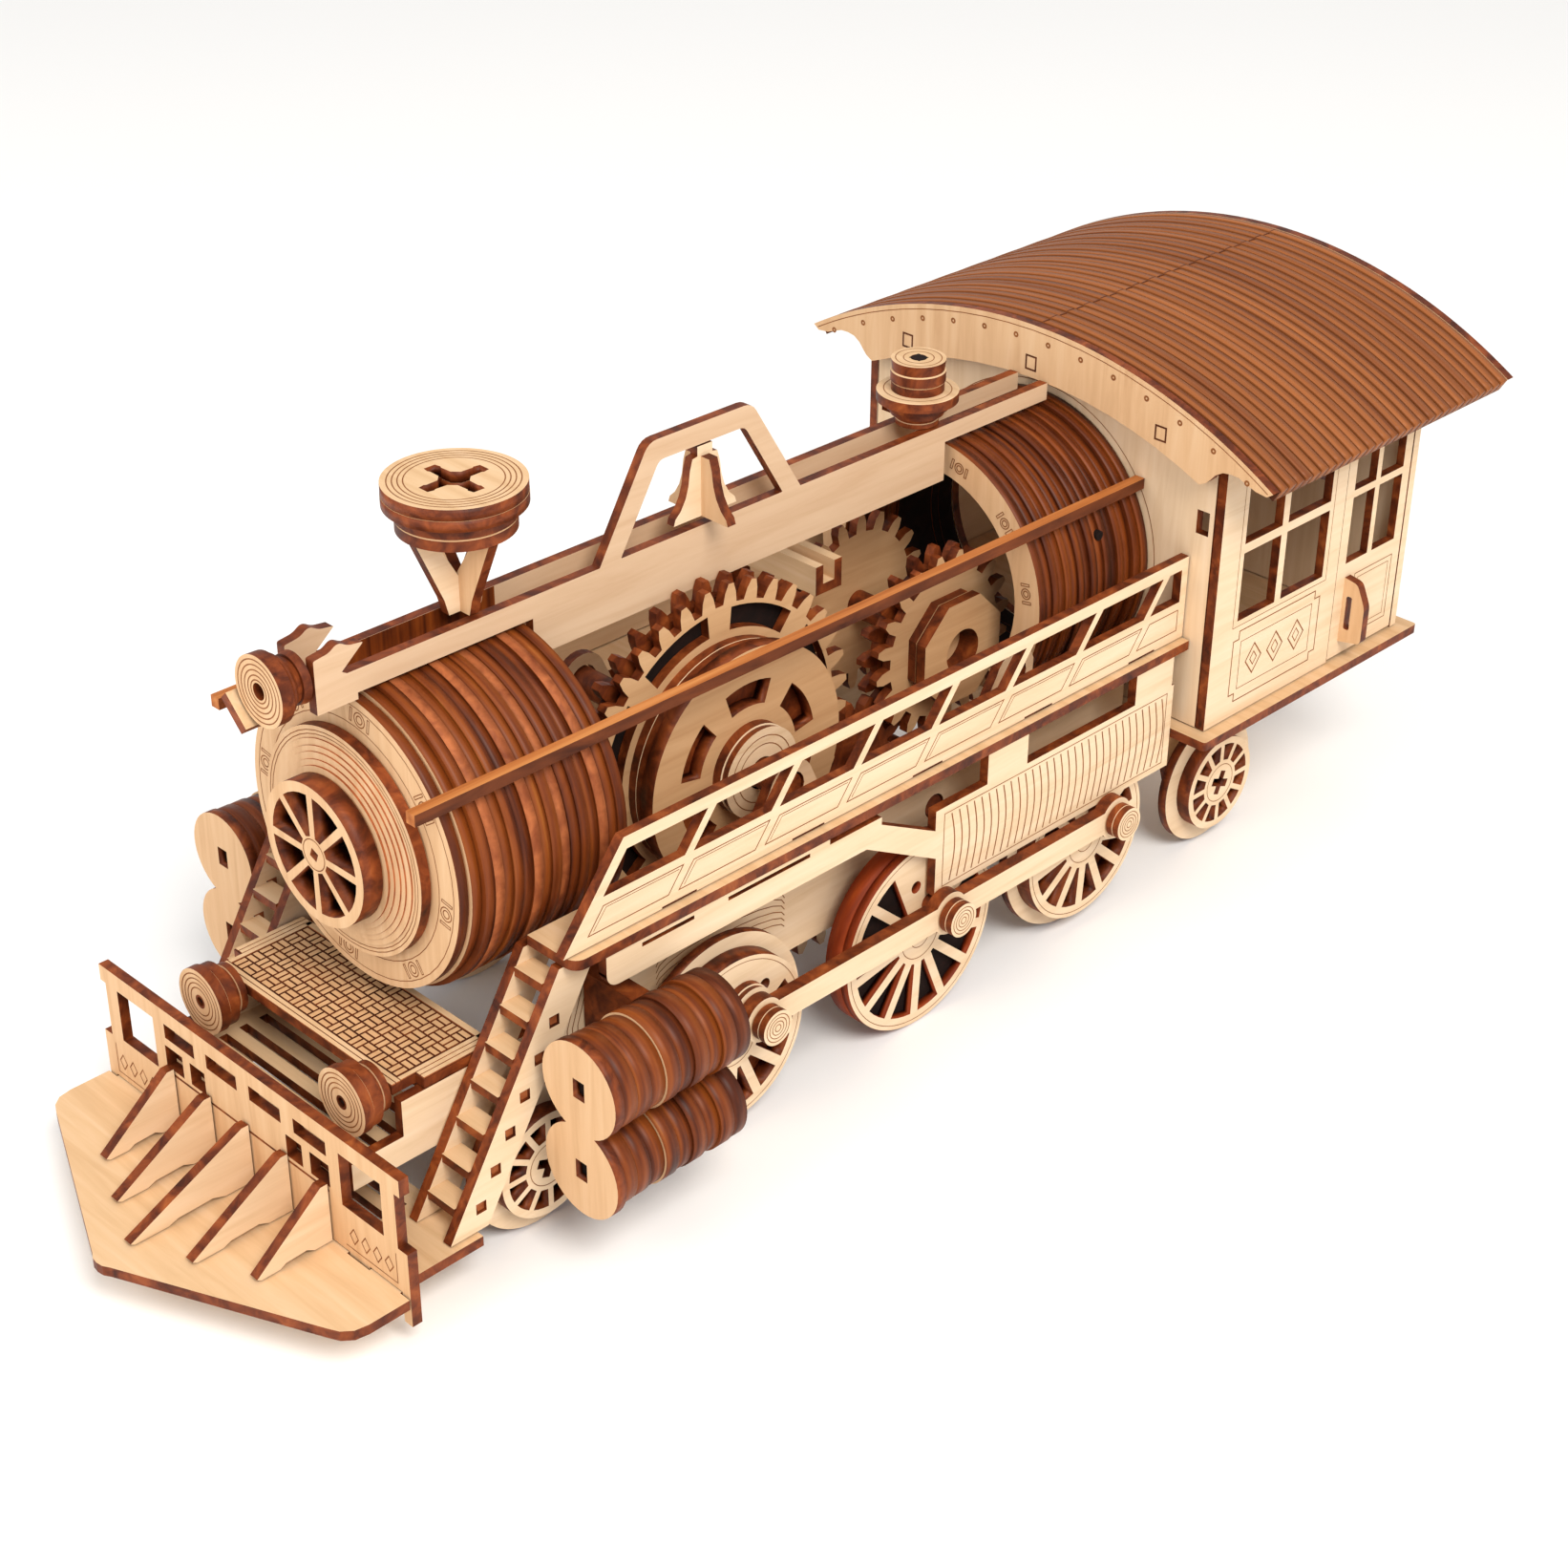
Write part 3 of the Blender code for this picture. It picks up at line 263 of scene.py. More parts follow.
class Part:
    """A growing mesh whose faces name their materials."""

    def __init__(self):
        self.verts = []
        self.faces = []
        self.mats = []
        self.smooth = []

    def add_faces(self, start, faces, mat, smooth=False):
        """Faces over vertices counted from start."""
        for face in faces:
            self.faces.append([start + i for i in face])
            self.mats.append(mat)
            self.smooth.append(smooth)

    def add(self, verts, faces, mat, smooth=False):
        start = len(self.verts)
        self.verts += verts
        self.add_faces(start, faces, mat, smooth)
        return start

    def join(self, other):
        start = len(self.verts)
        self.verts += other.verts
        self.faces += [[start + i for i in face] for face in other.faces]
        self.mats += other.mats
        self.smooth += other.smooth

    def plate(self, plane, outline, holes, lo, hi, face=None, edge="edge", back=None, round_edges=False):
        """Ply plate: outline with holes in a plane, from lo to hi across it."""
        loops = [outline if area(outline) > 0 else outline[::-1]]
        loops += [hole if area(hole) < 0 else hole[::-1] for hole in holes]
        flat = [p for loop in loops for p in loop]
        count = len(flat)
        verts = []
        for depth in (lo, hi):
            for p in flat:
                verts.append(placed(plane, p, depth))
        top = face or FACE[plane]
        tris = []
        for tri in triangles(loops):
            pts = [flat[i] for i in tri]
            tris.append(tri if area(pts) > 0 else tri[::-1])
        low_faces = [t[::-1] for t in tris]
        high_faces = [[i + count for i in t] for t in tris]
        sides = []
        start = 0
        for loop in loops:
            n = len(loop)
            for i in range(n):
                j = (i + 1) % n
                sides.append([start + i, start + j, count + start + j, count + start + i])
            start += n
        if plane == "xz":
            groups = (low_faces, high_faces, sides)
            low_faces, high_faces, sides = [[f[::-1] for f in group] for group in groups]
        start = self.add(verts, low_faces, back or top)
        self.add_faces(start, high_faces, top)
        self.add_faces(start, sides, edge, round_edges)
        return self

    def disc(self, plane, centre, radius, count, holes, lo, hi, face=None, edge="edge", back=None):
        """Round plate with a smooth rim."""
        outline = circle(*centre, radius, count)
        return self.plate(plane, outline, holes, lo, hi, face, edge, back, True)

    def turned(self, axis, centre, profile, count=48, face=None, edge="edge"):
        """Solid of revolution; flat steps take the face material and rims the edge material."""
        face = face or "face_" + axis
        ca, cb = centre
        for (p0, r0), (p1, r1) in zip(profile, profile[1:]):
            flat = abs(p1 - p0) < abs(r1 - r0)
            mat = face if flat else edge
            verts = []
            faces = []
            for pos, radius in ((p0, r0), (p1, r1)):
                for u, v in circle(ca, cb, max(radius, 0), count):
                    verts.append({"x": (pos, u, v), "y": (u, pos, v), "z": (u, v, pos)}[axis])
            for i in range(count):
                j = (i + 1) % count
                quad = [i, j, count + j, count + i]
                if r0 <= 0:
                    quad = [i, count + j, count + i]
                elif r1 <= 0:
                    quad = [i, j, count + i]
                faces.append(quad if axis != "y" else quad[::-1])
            self.add(verts, faces, mat, not flat)
        return self

    def ribbon(self, plane, points, depth, width=0.3, closed=False, mat="line"):
        """Flat engraved line lying on a plane at a depth."""
        n = len(points)
        left = []
        right = []
        for i in range(n):
            p = Vector(points[i])
            before = Vector(points[i - 1]) if (closed or i > 0) else p
            after = Vector(points[(i + 1) % n]) if (closed or i < n - 1) else p
            d0 = (p - before).normalized() if (p - before).length > 1e-9 else None
            d1 = (after - p).normalized() if (after - p).length > 1e-9 else None
            d0 = d0 or d1
            d1 = d1 or d0
            n0 = Vector((-d0.y, d0.x))
            n1 = Vector((-d1.y, d1.x))
            mid = n0 + n1 if (n0 + n1).length >= 1e-6 else n0
            mid.normalize()
            reach = width / 2 / max(0.35, mid.dot(n0))
            left.append(p + mid * reach)
            right.append(p - mid * reach)
        verts = []
        for q in left + right:
            verts.append(placed(plane, q, depth))
        faces = []
        for i in range(n if closed else n - 1):
            j = (i + 1) % n
            faces.append([i, j, n + j, n + i])
        self.add(verts, faces, mat)
        return self

    def rings(self, plane, cx, cy, radii, depth, width=0.28, mat="line", count=48):
        for r in radii:
            self.ribbon(plane, circle(cx, cy, r, count), depth, width, True, mat)
        return self

    def mirror_y(self):
        self.verts = [(x, -y, z) for x, y, z in self.verts]
        self.faces = [f[::-1] for f in self.faces]
        return self

    def build(self, name):
        mesh = bpy.data.meshes.new(name)
        mesh.from_pydata([(x * MM, y * MM, z * MM) for x, y, z in self.verts], [], self.faces)
        names = sorted(set(self.mats))
        for n in names:
            mesh.materials.append(MATS[n])
        index = {n: i for i, n in enumerate(names)}
        for poly, mat, smooth in zip(mesh.polygons, self.mats, self.smooth):
            poly.material_index = index[mat]
            poly.use_smooth = smooth
        mesh.validate()
        obj = bpy.data.objects.new(name, mesh)
        bpy.context.scene.collection.objects.link(obj)
        return obj


def show(part, node):
    """Builds the look of one CAD node and hangs it on that node's body."""
    obj = part.build("look_" + node)
    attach(obj, BODY[node])
    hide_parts(node)


SIDES = (("left", 1), ("right", -1))


def both(make, stem):
    """make() draws the left piece; the right one is its mirror image."""
    show(make(), stem + "_left")
    show(make().mirror_y(), stem + "_right")


# --- pilot and front end
PLATE = B("pilot_plate")
FENCE = B("pilot_fence")
DECK = B("front_deck")
FLOOR = B("front_frame")


def pilot():
    x0, _, z0, x1, y1, z1 = PLATE
    shoulder = x1 - 18.8
    half = y1
    side = [(x0, 39.5), (121.4, 39.5), (121.4, 41), (124.3, 41), (124.3, half)]
    front = [(shoulder - 4, half), (shoulder - 1.4, half - 0.5), (shoulder + 0.4, half - 2), (shoulder + 1.4,
            half - 4)]
    nose = [(x1 - 0.9, 2.6), (x1 - 0.2, 1.4), (x1, 0)]
    halfway = side + front + nose
    outline = halfway + [(x, -y) for x, y in reversed(halfway[:-1])]
    holes = [rect(121.6, y - 3, 124.4, y + 3) for y in (-30, 0, 30)]
    holes += [rect(113.6, -24, 115.4, 24), rect(109.4, -24, 111.2, 24)]
    show(Part().plate("xy", outline, holes, z0, z1), "pilot_plate")


def pilot_ribs():
    for i in range(5):
        b = B("pilot_rib_%d" % (i + 1))
        length = b[3] - b[0]
        foot = b[2] + 0.5
        side = [(b[0], b[2]), (b[0] + length * 0.24, b[2]), (b[0] + length * 0.34, b[2] + 0.9)]
        side += [(b[0] + length * 0.62, b[2] + 0.7), (b[0] + length * 0.70, b[2]), (b[3] - 0.8, b[2]), (b[3],
                foot)]
        side += [(b[0] + 1.4, b[5]), (b[0], b[5])]
        show(Part().plate("xz", side, [], b[1], b[4]), "pilot_rib_%d" % (i + 1))


def fence():
    x0, _, z0, x1, _, z1 = FENCE
    plate_top = PLATE[5] + 0.3
    low = [(-43.4, z0), (-41.3, z0), (-41.3, plate_top)]
    for y in (-30, 0, 30):
        low += [(y - 2.7, plate_top), (y - 2.7, PLATE[2]), (y + 2.7, PLATE[2]), (y + 2.7, plate_top)]
    low += [(41.3, plate_top), (41.3, z0), (43.4, z0), (43.4, 20), (41, 20), (41, 31.2), (42.5, 31.2)]
    low += [(42.5, z1), (-42.5, z1), (-42.5, 31.2), (-41, 31.2), (-41, 20), (-43.4, 20)]
    holes = [rect(26.4, 20.5, 37.4, 31.2), rect(-37.4, 20.5, -26.4, 31.2)]
    holes += [rect(-18.6 + 12.4 * k - 4.4, 28.6, -18.6 + 12.4 * k + 4.4, 31.6) for k in range(4)]
    holes += [rect(a, 22.3, b, 26.9) for a, b in ((-23.4, -18.2), (-16, -11.6), (11.6, 16), (18.2, 23.4))]
    part = Part().plate("yz", low, holes, x0, x1)
    for s in (-1, 1):
        for k in range(4):
            mid = s * (29 + 3.1 * k)
            part.ribbon("yz", [(mid - 1.1, 15.2), (mid, 13.6), (mid + 1.1, 15.2), (mid, 16.8)], x1 + LIFT, 0.22,
                    True)
        part.ribbon("yz", [(s * 26.6, 12.3), (s * 40.3, 12.3), (s * 40.3, 18.6)], x1 + LIFT, 0.18)
    part.ribbon("yz", [(-23, 21.4), (23, 21.4)], x1 + LIFT, 0.5, False, "edge")
    show(part, "pilot_fence")


def front_frame():
    x0, _, z0, x1, y1, z1 = FLOOR
    wheel = joint_pos("pilot_wheel_spin")
    part = Part()
    floor = rect(101, -y1 + 1.8, FENCE[0] - 0.3, y1 - 1.8)
    slots = [rect(x, -21.5, x + 1.7, 21.5) for x in (104, 108.3, 112.6, 116.9)]
    part.plate("xy", floor, slots, 22.5, 24.5)
    cheek = [(x0, 24), (82, 24), (82.6, z0), (92.6, z0), (96, 22.2), (x1, 22.2), (x1, 27.6), (110.9, 27.6)]
    cheek += [(110.9, z1), (x0, z1)]
    for s in (-1, 1):
        lo, hi = sorted((s * (y1 - 2), s * y1))
        part.plate("xz", cheek, [circle(wheel[0], wheel[2], 2.6, 16)], lo, hi)
    show(part, "front_frame")


def front_deck():
    x0, y0, z0, x1, y1, z1 = DECK
    notch = 2.2
    outline = [(x0, y0), (x1 - 5, y0), (x1 - 5, y0 + notch), (x1, y0 + notch), (x1, y1 - notch), (x1 - 5,
            y1 - notch),
               (x1 - 5, y1), (x0, y1)]
    part = Part().plate("xy", outline, [], z0, z1 - 0.25, "dark_line")
    cell = 2.72
    rows = 6
    cols = 17
    gx = x0 + 1.6
    gy = -cell * cols / 2
    for i in range(rows):
        for j in range(cols):
            cx = gx + cell * i
            cy = gy + cell * j
            for k in range(2):
                if (i + j) % 2:
                    strip = rect(cx + 0.2, cy + 0.2 + k * cell / 2, cx + cell - 0.2,
                            cy + cell / 2 - 0.2 + k * cell / 2)
                else:
                    strip = rect(cx + 0.2 + k * cell / 2, cy + 0.2, cx + cell / 2 - 0.2 + k * cell / 2,
                            cy + cell - 0.2)
                part.plate("xy", strip, [], z1 - 0.3, z1, "gear_top", "edge")
    for a, b in ((x0 + 0.1, x0 + 1.3), (x1 - 1.9, x1 - 1.1), (x1 - 0.9, x1 - 0.1)):
        part.plate("xy", rect(a, y0 + notch + 0.1, b, y1 - notch - 0.1), [], z1 - 0.3, z1, None, "edge_light")
    for s in (-1, 1):
        for k in range(3):
            lo, hi = sorted((s * (23.4 + 1.1 * k), s * (24.3 + 1.1 * k)))
            part.plate("xy", rect(x0 + 0.2, lo, x1 - (5.2 if k else 2.1), hi), [], z1 - 0.3, z1, None,
                    "edge_light")
    show(part, "front_deck")


def buffers():
    for label, _ in SIDES:
        bx0, by0, bz0, bx1, by1, bz1 = B("buffer_" + label)
        cy, cz = (by0 + by1) / 2, (bz0 + bz1) / 2
        r = (by1 - by0) / 2
        part = Part()
        prof = [(bx0, 0), (bx0, r * 0.74), (bx0 + 1.3, r * 0.74), (bx0 + 1.4, r * 0.70), (bx0 + 2.6, r * 0.72)]
        prof += [(bx0 + 2.6, r * 0.94), (bx0 + 4.5, r * 0.94), (bx0 + 4.6, r * 0.90), (bx0 + 4.75, r), (bx1, r)]
        prof += [(bx1, 1.3), (bx1 - 1.6, 1.3), (bx1 - 1.6, 0)]
        part.turned("x", (cy, cz), prof, 40)
        part.rings("yz", cy, cz, (5.4, 4.5, 3.6, 2.7), bx1 + LIFT, 0.24)
        part.turned("x", (cy, cz), [(bx1 + LIFT, 1.35), (bx1 + LIFT, 0.9)], 24, "edge")
        part.plate("yz", circle(cy, cz, 0.75, 4, 0.5), [], bx1 - 1.6, bx1 - 0.4, "dark", "dark")
        show(part, "buffer_" + label)


def stair():
    x0, y0, z0, x1, y1, z1 = B("stair_left")
    slope = (x1 - x0 - 8.2) / (z1 - z0)

    def centre(z):
        return x1 - 4.2 - slope * (z - z0)

    edge = [(centre(z0) - 4, z0), (centre(z0) + 4.2, z0), (centre(z1) + 4.2, z1), (centre(z1) - 4, z1)]
    holes = []
    for k in range(6):
        z = 15.6 + 5.9 * k
        x = centre(z)
        holes.append(rect(x - 1.1, z - 1.1, x + 1.1, z + 1.1))
    part = Part().plate("xz", edge, holes, y1 - 2, y1).plate("xz", edge, [], y0, y0 + 2)
    for k in range(6):
        z = 15.6 + 5.9 * k
        x = centre(z)
        tab = [(x - 1.1, z - 1.1), (x + 0.3, z - 1.1), (x + 0.9, z + 1.1), (x - 1.1, z + 1.1)]
        part.plate("xz", tab, [], y1 - 2, y1 - 0.7, "edge_light")
    for k in range(7):
        z = 14.6 + 5.9 * k
        x = centre(z)
        part.plate("xy", rect(x - 0.6, y0 + 2, x + 3.6, y1 - 2), [], z, z + 1.8)
    return part


# --- boiler
FRONT = B("boiler_front_section")
REAR = B("boiler_rear_section")
BZ = (FRONT[2] + FRONT[5]) / 2
BR = (FRONT[5] - FRONT[2]) / 2


def ply_spans(x0, x1, count, gap):
    """The plies of a stack from x0 to x1, as (lo, hi), with a dark gap at each joint."""
    step = (x1 - x0) / count
    return [(x0 + step * i + gap, x0 + step * (i + 1) - gap) for i in range(count)]


def ring_stack(part, x0, x1, radii, bore, a0=0, a1=2 * pi, pale=()):
    """Glued plies, each a ring with its own radius; thin dark gaps part them."""
    n = len(radii)
    whole = a1 - a0 > 6.2
    for i, (r, (lo, hi)) in enumerate(zip(radii, ply_spans(x0, x1, n, 0.04))):
        if whole:
            outline = circle(0, BZ, r, 96)
            holes = [circle(0, BZ, bore, 48)]
        else:
            outline = arc(0, BZ, r, a0, a1, 72) + arc(0, BZ, bore, a1, a0, 40)
            holes = []
        skin = "edge_light" if i in pale else "ring"
        last = i == n - 1 and x1 in (FRONT[3], REAR[3])
        part.plate("yz", outline, holes, lo, hi, "face_x" if last else "ring", skin, "dark" if i else "ring",
                True)
    if whole:
        part.turned("x", (0, BZ), [(x1 - 0.1, bore - 0.05), (x0 + 0.1, bore - 0.05)], 48, "dark", "dark")


def ornament(part, a, r, x, size=1):
    """Engraved ring between two short bars, at angle a on a radius r of the boiler's face."""
    cy = r * cos(a)
    cz = BZ + r * sin(a)
    part.rings("yz", cy, cz, (1.35 * size, 0.75 * size), x, 0.22, "line", 20)
    along = Vector((-sin(a), cos(a)))
    out = Vector((cos(a), sin(a)))
    for s in (-1, 1):
        base = Vector((cy, cz)) + along * (2 * s * size)
        reach = out * 1.3 * size
        wide = along * 0.5 * s
        quad = [base + reach, base - reach, base - reach + wide, base + reach + wide]
        part.ribbon("yz", quad, x, 0.18, True)


def front_section():
    part = Part()
    uneven = (0, 0.3, 0.1, 0.4, 0.05, 0.25, 0.45, 0.1, 0.3)
    radii = [BR - uneven[i % 9] for i in range(14)] + [BR - 0.1, BR - 1.1]
    ring_stack(part, FRONT[0], FRONT[3], radii, 22.6, pale=(2, 6, 9, 13))
    show(part, "boiler_front_section")


def smokebox_ring():
    x0, _, _, x1, y1, _ = B("smokebox_ring")
    part = Part().disc("yz", (0, BZ), y1, 96, [circle(0, BZ, 15, 48)], x0, x1, None, "ring")
    for k in range(8):
        ornament(part, radians(-10 + 45 * k), 24.4, x1 + LIFT)
    part.rings("yz", 0, BZ, (26.3, 22.6), x1 + LIFT, 0.16)
    show(part, "smokebox_ring")


def smokebox_door():
    x0, _, _, x1, y1, _ = B("smokebox_door")
    part = Part()
    prof = [(x0, 0), (x0, y1)]
    for step, radius, inner in ((2, y1, 18.6), (2.3, 18.6, 17.4), (2.6, 17.4, 16.4), (2.9, 16.4, 15.2), (3.2,
            15.2, 14.2)):
        prof += [(x0 + step, radius), (x0 + step, inner)]
    prof += [(x1, 14.2), (x1, 11.6)]
    part.turned("x", (0, BZ), prof, 96, None, "edge_light")
    for i, m in enumerate(part.mats):
        if i // 96 == 1:
            part.mats[i] = "edge"
    part.turned("x", (0, BZ), [(x1, 11.6), (x1, 0)], 48, "dark")
    part.rings("yz", 0, BZ, (20, 19.3), x0 + 2 + LIFT, 0.16)
    show(part, "smokebox_door")


def spoke_gap(cx, cz, r0, r1, a, w0, w1, count=3):
    """Opening between two spokes: a, its middle angle; w0 and w1, half its width at each radius."""
    start = (cx + r0 * cos(a - w0), cz + r0 * sin(a - w0))
    end = (cx + r0 * cos(a + w0), cz + r0 * sin(a + w0))
    return [start] + arc(cx, cz, r1, a - w1, a + w1, count) + [end]


def smokebox_wheel():
    x0, _, _, x1, y1, _ = B("smokebox_wheel")
    holes = [spoke_gap(0, BZ, 3.4, y1 - 1.9, 2 * pi * (k + 0.5) / 8, 0.20, 0.325, 4) for k in range(8)]
    holes.append(circle(0, BZ, 1.3, 4, 0.4))
    part = Part().disc("yz", (0, BZ), y1, 64, holes, x0, x1)
    part.rings("yz", 0, BZ, (2.9,), x1 + LIFT, 0.2, "line", 24)
    show(part, "smokebox_wheel")


def rear_section():
    part = Part()
    a0 = radians(-42)
    well = -60.4
    x0, x1 = REAR[0], REAR[3]
    ring_stack(part, x0, x0 + 4.2, [BR + 0.6, BR + 0.3], 22.6)
    ring_stack(part, x0 + 4.2, x0 + 6.4, [BR - 0.5], 22.6)
    ring_stack(part, x0 + 6.4, well, [BR - d for d in (0.1, 0.4, 0, 0.3, 0.1)], 22.6)
    uneven = (0.5, 0.1, 0.4, 0.2, 0.5, 0.15, 0.4)
    ring_stack(part, well, x1 - 2.2, [BR - d for d in uneven], 22.8, a0, pi - a0)
    ring_stack(part, x1 - 2.2, x1, [BR - 0.2], 22.8, a0, pi - a0)
    for k in range(7):
        ornament(part, radians(-22 + 32 * k), 25.8, x1 + LIFT, 0.8)
    part.plate("xz", circle(-64, 79.4, 1, 16), [], 26, 27.35, "dark", "dark")
    show(part, "boiler_rear_section")


def handrails():
    for label, _ in SIDES:
        b = B("handrail_" + label)
        # rim in the lighter bar tones, flat sides in the darker bar_edge tones: painted light and painted shade
        bar = Part().plate("xz", rect(b[0], b[2], b[3], b[5]), [], b[1], b[4], "bar_edge", "bar")
        show(bar, "handrail_" + label)


def beams():
    b = B("top_beam_left")
    r = B("top_beam_right")
    top = 102
    over = BZ + BR + 0.3
    low = r[2]
    front = [(105.5, 96.6), (105.5, 106.4), (102.4, 106.8), (100.6, 108), (98.6, 106.8), (95.6, 106.4)]
    front += [(100.2, 102.6), (99.2, top)]
    front_round = [0, 0.4, 0.8, 1.2, 0.8, 0.4]
    frame_out = [(45.3, top), (33.5, b[5]), (8.8, b[5]), (-3.6, top)]
    tail = [(r[0], top), (r[0], over + 0.7), (-43, over + 0.7), (-43, low), (60.5, low), (60.5, over)]
    tail += [(97.4, over), (97.4, 96.6)]
    window = [(40.4, top + 0.2), (31.1, 117.8), (10.6, 117.8), (1, top + 0.2)]
    window = rounded(window, [0.3, 1.2, 1.2, 0.3])
    outline = rounded(front + frame_out + tail, front_round + [0, 0, 0, 2, 2, 0] + [0] * 8)
    show(Part().plate("xz", outline, [window], b[1], b[4], "beam"), "top_beam_left")
    part = Part().plate("xz", rounded(front + tail, front_round + [0] * 10), [], r[1], r[4], "beam")
    part.plate("xz", rect(62.5, over + 0.05, 99, top - 0.05), [], r[4], r[4] + 0.06, "ring", "ring")
    show(part, "top_beam_right")


def bell():
    b = B("bell")
    beam = B("top_beam_left")
    cx, cy = (b[0] + b[3]) / 2, (beam[1] + beam[4]) / 2
    levels = [(117.4, 1.8), (115.6, 1.8), (115.4, 3), (113.4, 3.6), (110.6, 4), (108.4, 4.7)]
    levels += [(106.4, 5.9), (105.2, 7.2), (104, 7.6)]
    long_side = [(cx + w, z) for z, w in levels] + [(cx - w, z) for z, w in reversed(levels)]
    cross = [(cy + w, z) for z, w in levels[2:]] + [(cy - w, z) for z, w in reversed(levels[2:])]
    part = Part().plate("xz", long_side, [], cy - 0.9, cy + 0.9)
    show(part.plate("yz", cross, [], cx - 1, cx + 1), "bell")


def funnel():
    b = B("funnel")
    cx, cy = (b[0] + b[3]) / 2, 0
    base, top = b[2], b[5]
    r = (b[4] - b[1]) / 2
    neck = top - 8.4
    part = Part()

    def leg(c, notch, rise):
        half = [(3.4, base), (4.2, base + 3), (9.6, neck + rise), (6, neck + rise), (0.7, notch + 1)]
        return [(c - 3.4, base)] + [(c + x, z) for x, z in half] + [(c, notch)] + [(c - x, z) for x,
                z in half[:0:-1]]

    part.plate("xz", leg(cx, 107.2, 0.2), [], -1, 1)
    part.plate("yz", leg(0, 108.4, 0.2), [], cx - 1.05, cx + 1.05)
    prof = [(neck, 0), (neck, 10.2), (neck + 1.9, 10.2), (neck + 2.1, 10), (neck + 2.3, 10.4), (neck + 4.2,
            10.4)]
    part.turned("z", (cx, cy), prof + [(neck + 4.4, 10.2), (neck + 4.4, r - 0.3)], 64)
    arm, w = 6.4, 1.15
    quarter = [(arm, w), (arm - 1.2, w + 0.25), (arm - 1.6, w), (w + 1.3, w + 0.1), (w + 0.1, w + 1.3), (w,
            arm - 1.6),
               (w + 0.25, arm - 1.2), (w, arm)]
    cross = []
    for sx, sy in ((1, 1), (-1, 1), (-1, -1), (1, -1)):
        quad = quarter if sx * sy > 0 else quarter[::-1]
        cross += [(cx + sx * a, sy * c) for a, c in quad]
    part.disc("xy", (cx, cy), r, 72, [cross], neck + 4.4, top - 2.05)
    part.disc("xy", (cx, cy), r - 0.05, 72, [cross], top - 2, top)
    part.plate("xy", circle(cx, cy, r - 1, 40), [], neck + 4.38, neck + 4.44, "edge", "edge")
    part.rings("xy", cx, cy, (r - 1.2, r - 2.1, r - 3, r - 3.9), top + LIFT, 0.2, "line", 72)
    show(part, "funnel")


def dome():
    b = B("dome")
    cx = (b[0] + b[3]) / 2
    z = b[2]
    steps = [(0, 0), (0, 4.2), (0.9, 4.2), (1, 4), (1.9, 4.4), (2, 5.2), (3.2, 5.2), (3.3, 6.2), (4.6, 6.2)]
    steps += [(4.7, 7.9), (6.6, 7.9), (6.7, 7.7), (6.7, 5.1), (8.4, 5.1), (8.5, 4.9), (8.7, 5.3), (10.6, 5.3),
            (10.8, 5)]
    prof = [(z + rise, radius) for rise, radius in steps]
    prof += [(b[5], 5.25), (b[5], 1.6), (b[5] - 2, 1.6), (b[5] - 2, 0)]
    part = Part().turned("z", (cx, 0), prof, 56)
    part.plate("xy", circle(cx, 0, 1.9, 4, 0.78), [], b[5], b[5] + LIFT, "dark", "dark")
    part.rings("xy", cx, 0, (2.9, 4.4), b[5] + LIFT, 0.18, "line", 40)
    part.rings("xy", cx, 0, (6.5,), z + 6.7 + LIFT, 0.18, "line", 40)
    show(part, "dome")


def headlamp():
    x0 = B("headlamp")[0]
    cz = 102
    face = 112.9
    part = Part()
    steps = [(0, 0), (0, 4.6), (1.5, 4.4), (1.6, 4), (2.6, 4.4), (3.6, 5.4), (4, 5.4), (4.2, 5.1), (4.6, 6.2)]
    prof = [(x0 + rise, radius) for rise, radius in steps]
    prof += [(face, 6.3), (face, 1.5), (face - 1.7, 1.5), (face - 1.7, 0)]
    part.turned("x", (0, cz), prof, 56)
    for i, m in enumerate(part.mats):
        if i // 56 != 9 and m == "face_x":
            part.mats[i] = "ring"
    for i in range(56 * 11, 56 * 12):
        part.mats[i] = "dark"
    part.rings("yz", 0, cz, (5.5, 4.6, 3.7, 2.8, 2), face + LIFT, 0.22)
    d = sqrt(0.5)
    verts = []
    for px in (x0 + 1, 114.3):
        for out, along in ((7, -3.4), (7, 3.4), (9, 3.4), (9, -3.4)):
            verts.append((px, d * (along - out), cz - d * (along + out)))
    part.add(verts, [[0, 1, 5, 4], [2, 3, 7, 6]], "face_z")
    part.add(verts, [[0, 3, 2, 1], [4, 5, 6, 7], [1, 2, 6, 5], [3, 0, 4, 7]], "edge")
    show(part, "headlamp")


# --- chassis sides
def walkway():
    x0, y0, z0, x1, y1, z1 = B("walkway_left")
    outline = [(x0, y0), (x1, y0)] + arc(x1 - 2.4, y1 - 2.4, 2.4, 0, pi / 2, 6) + [(x0, y1)]
    return Part().plate("xy", outline, [], z0, z1)


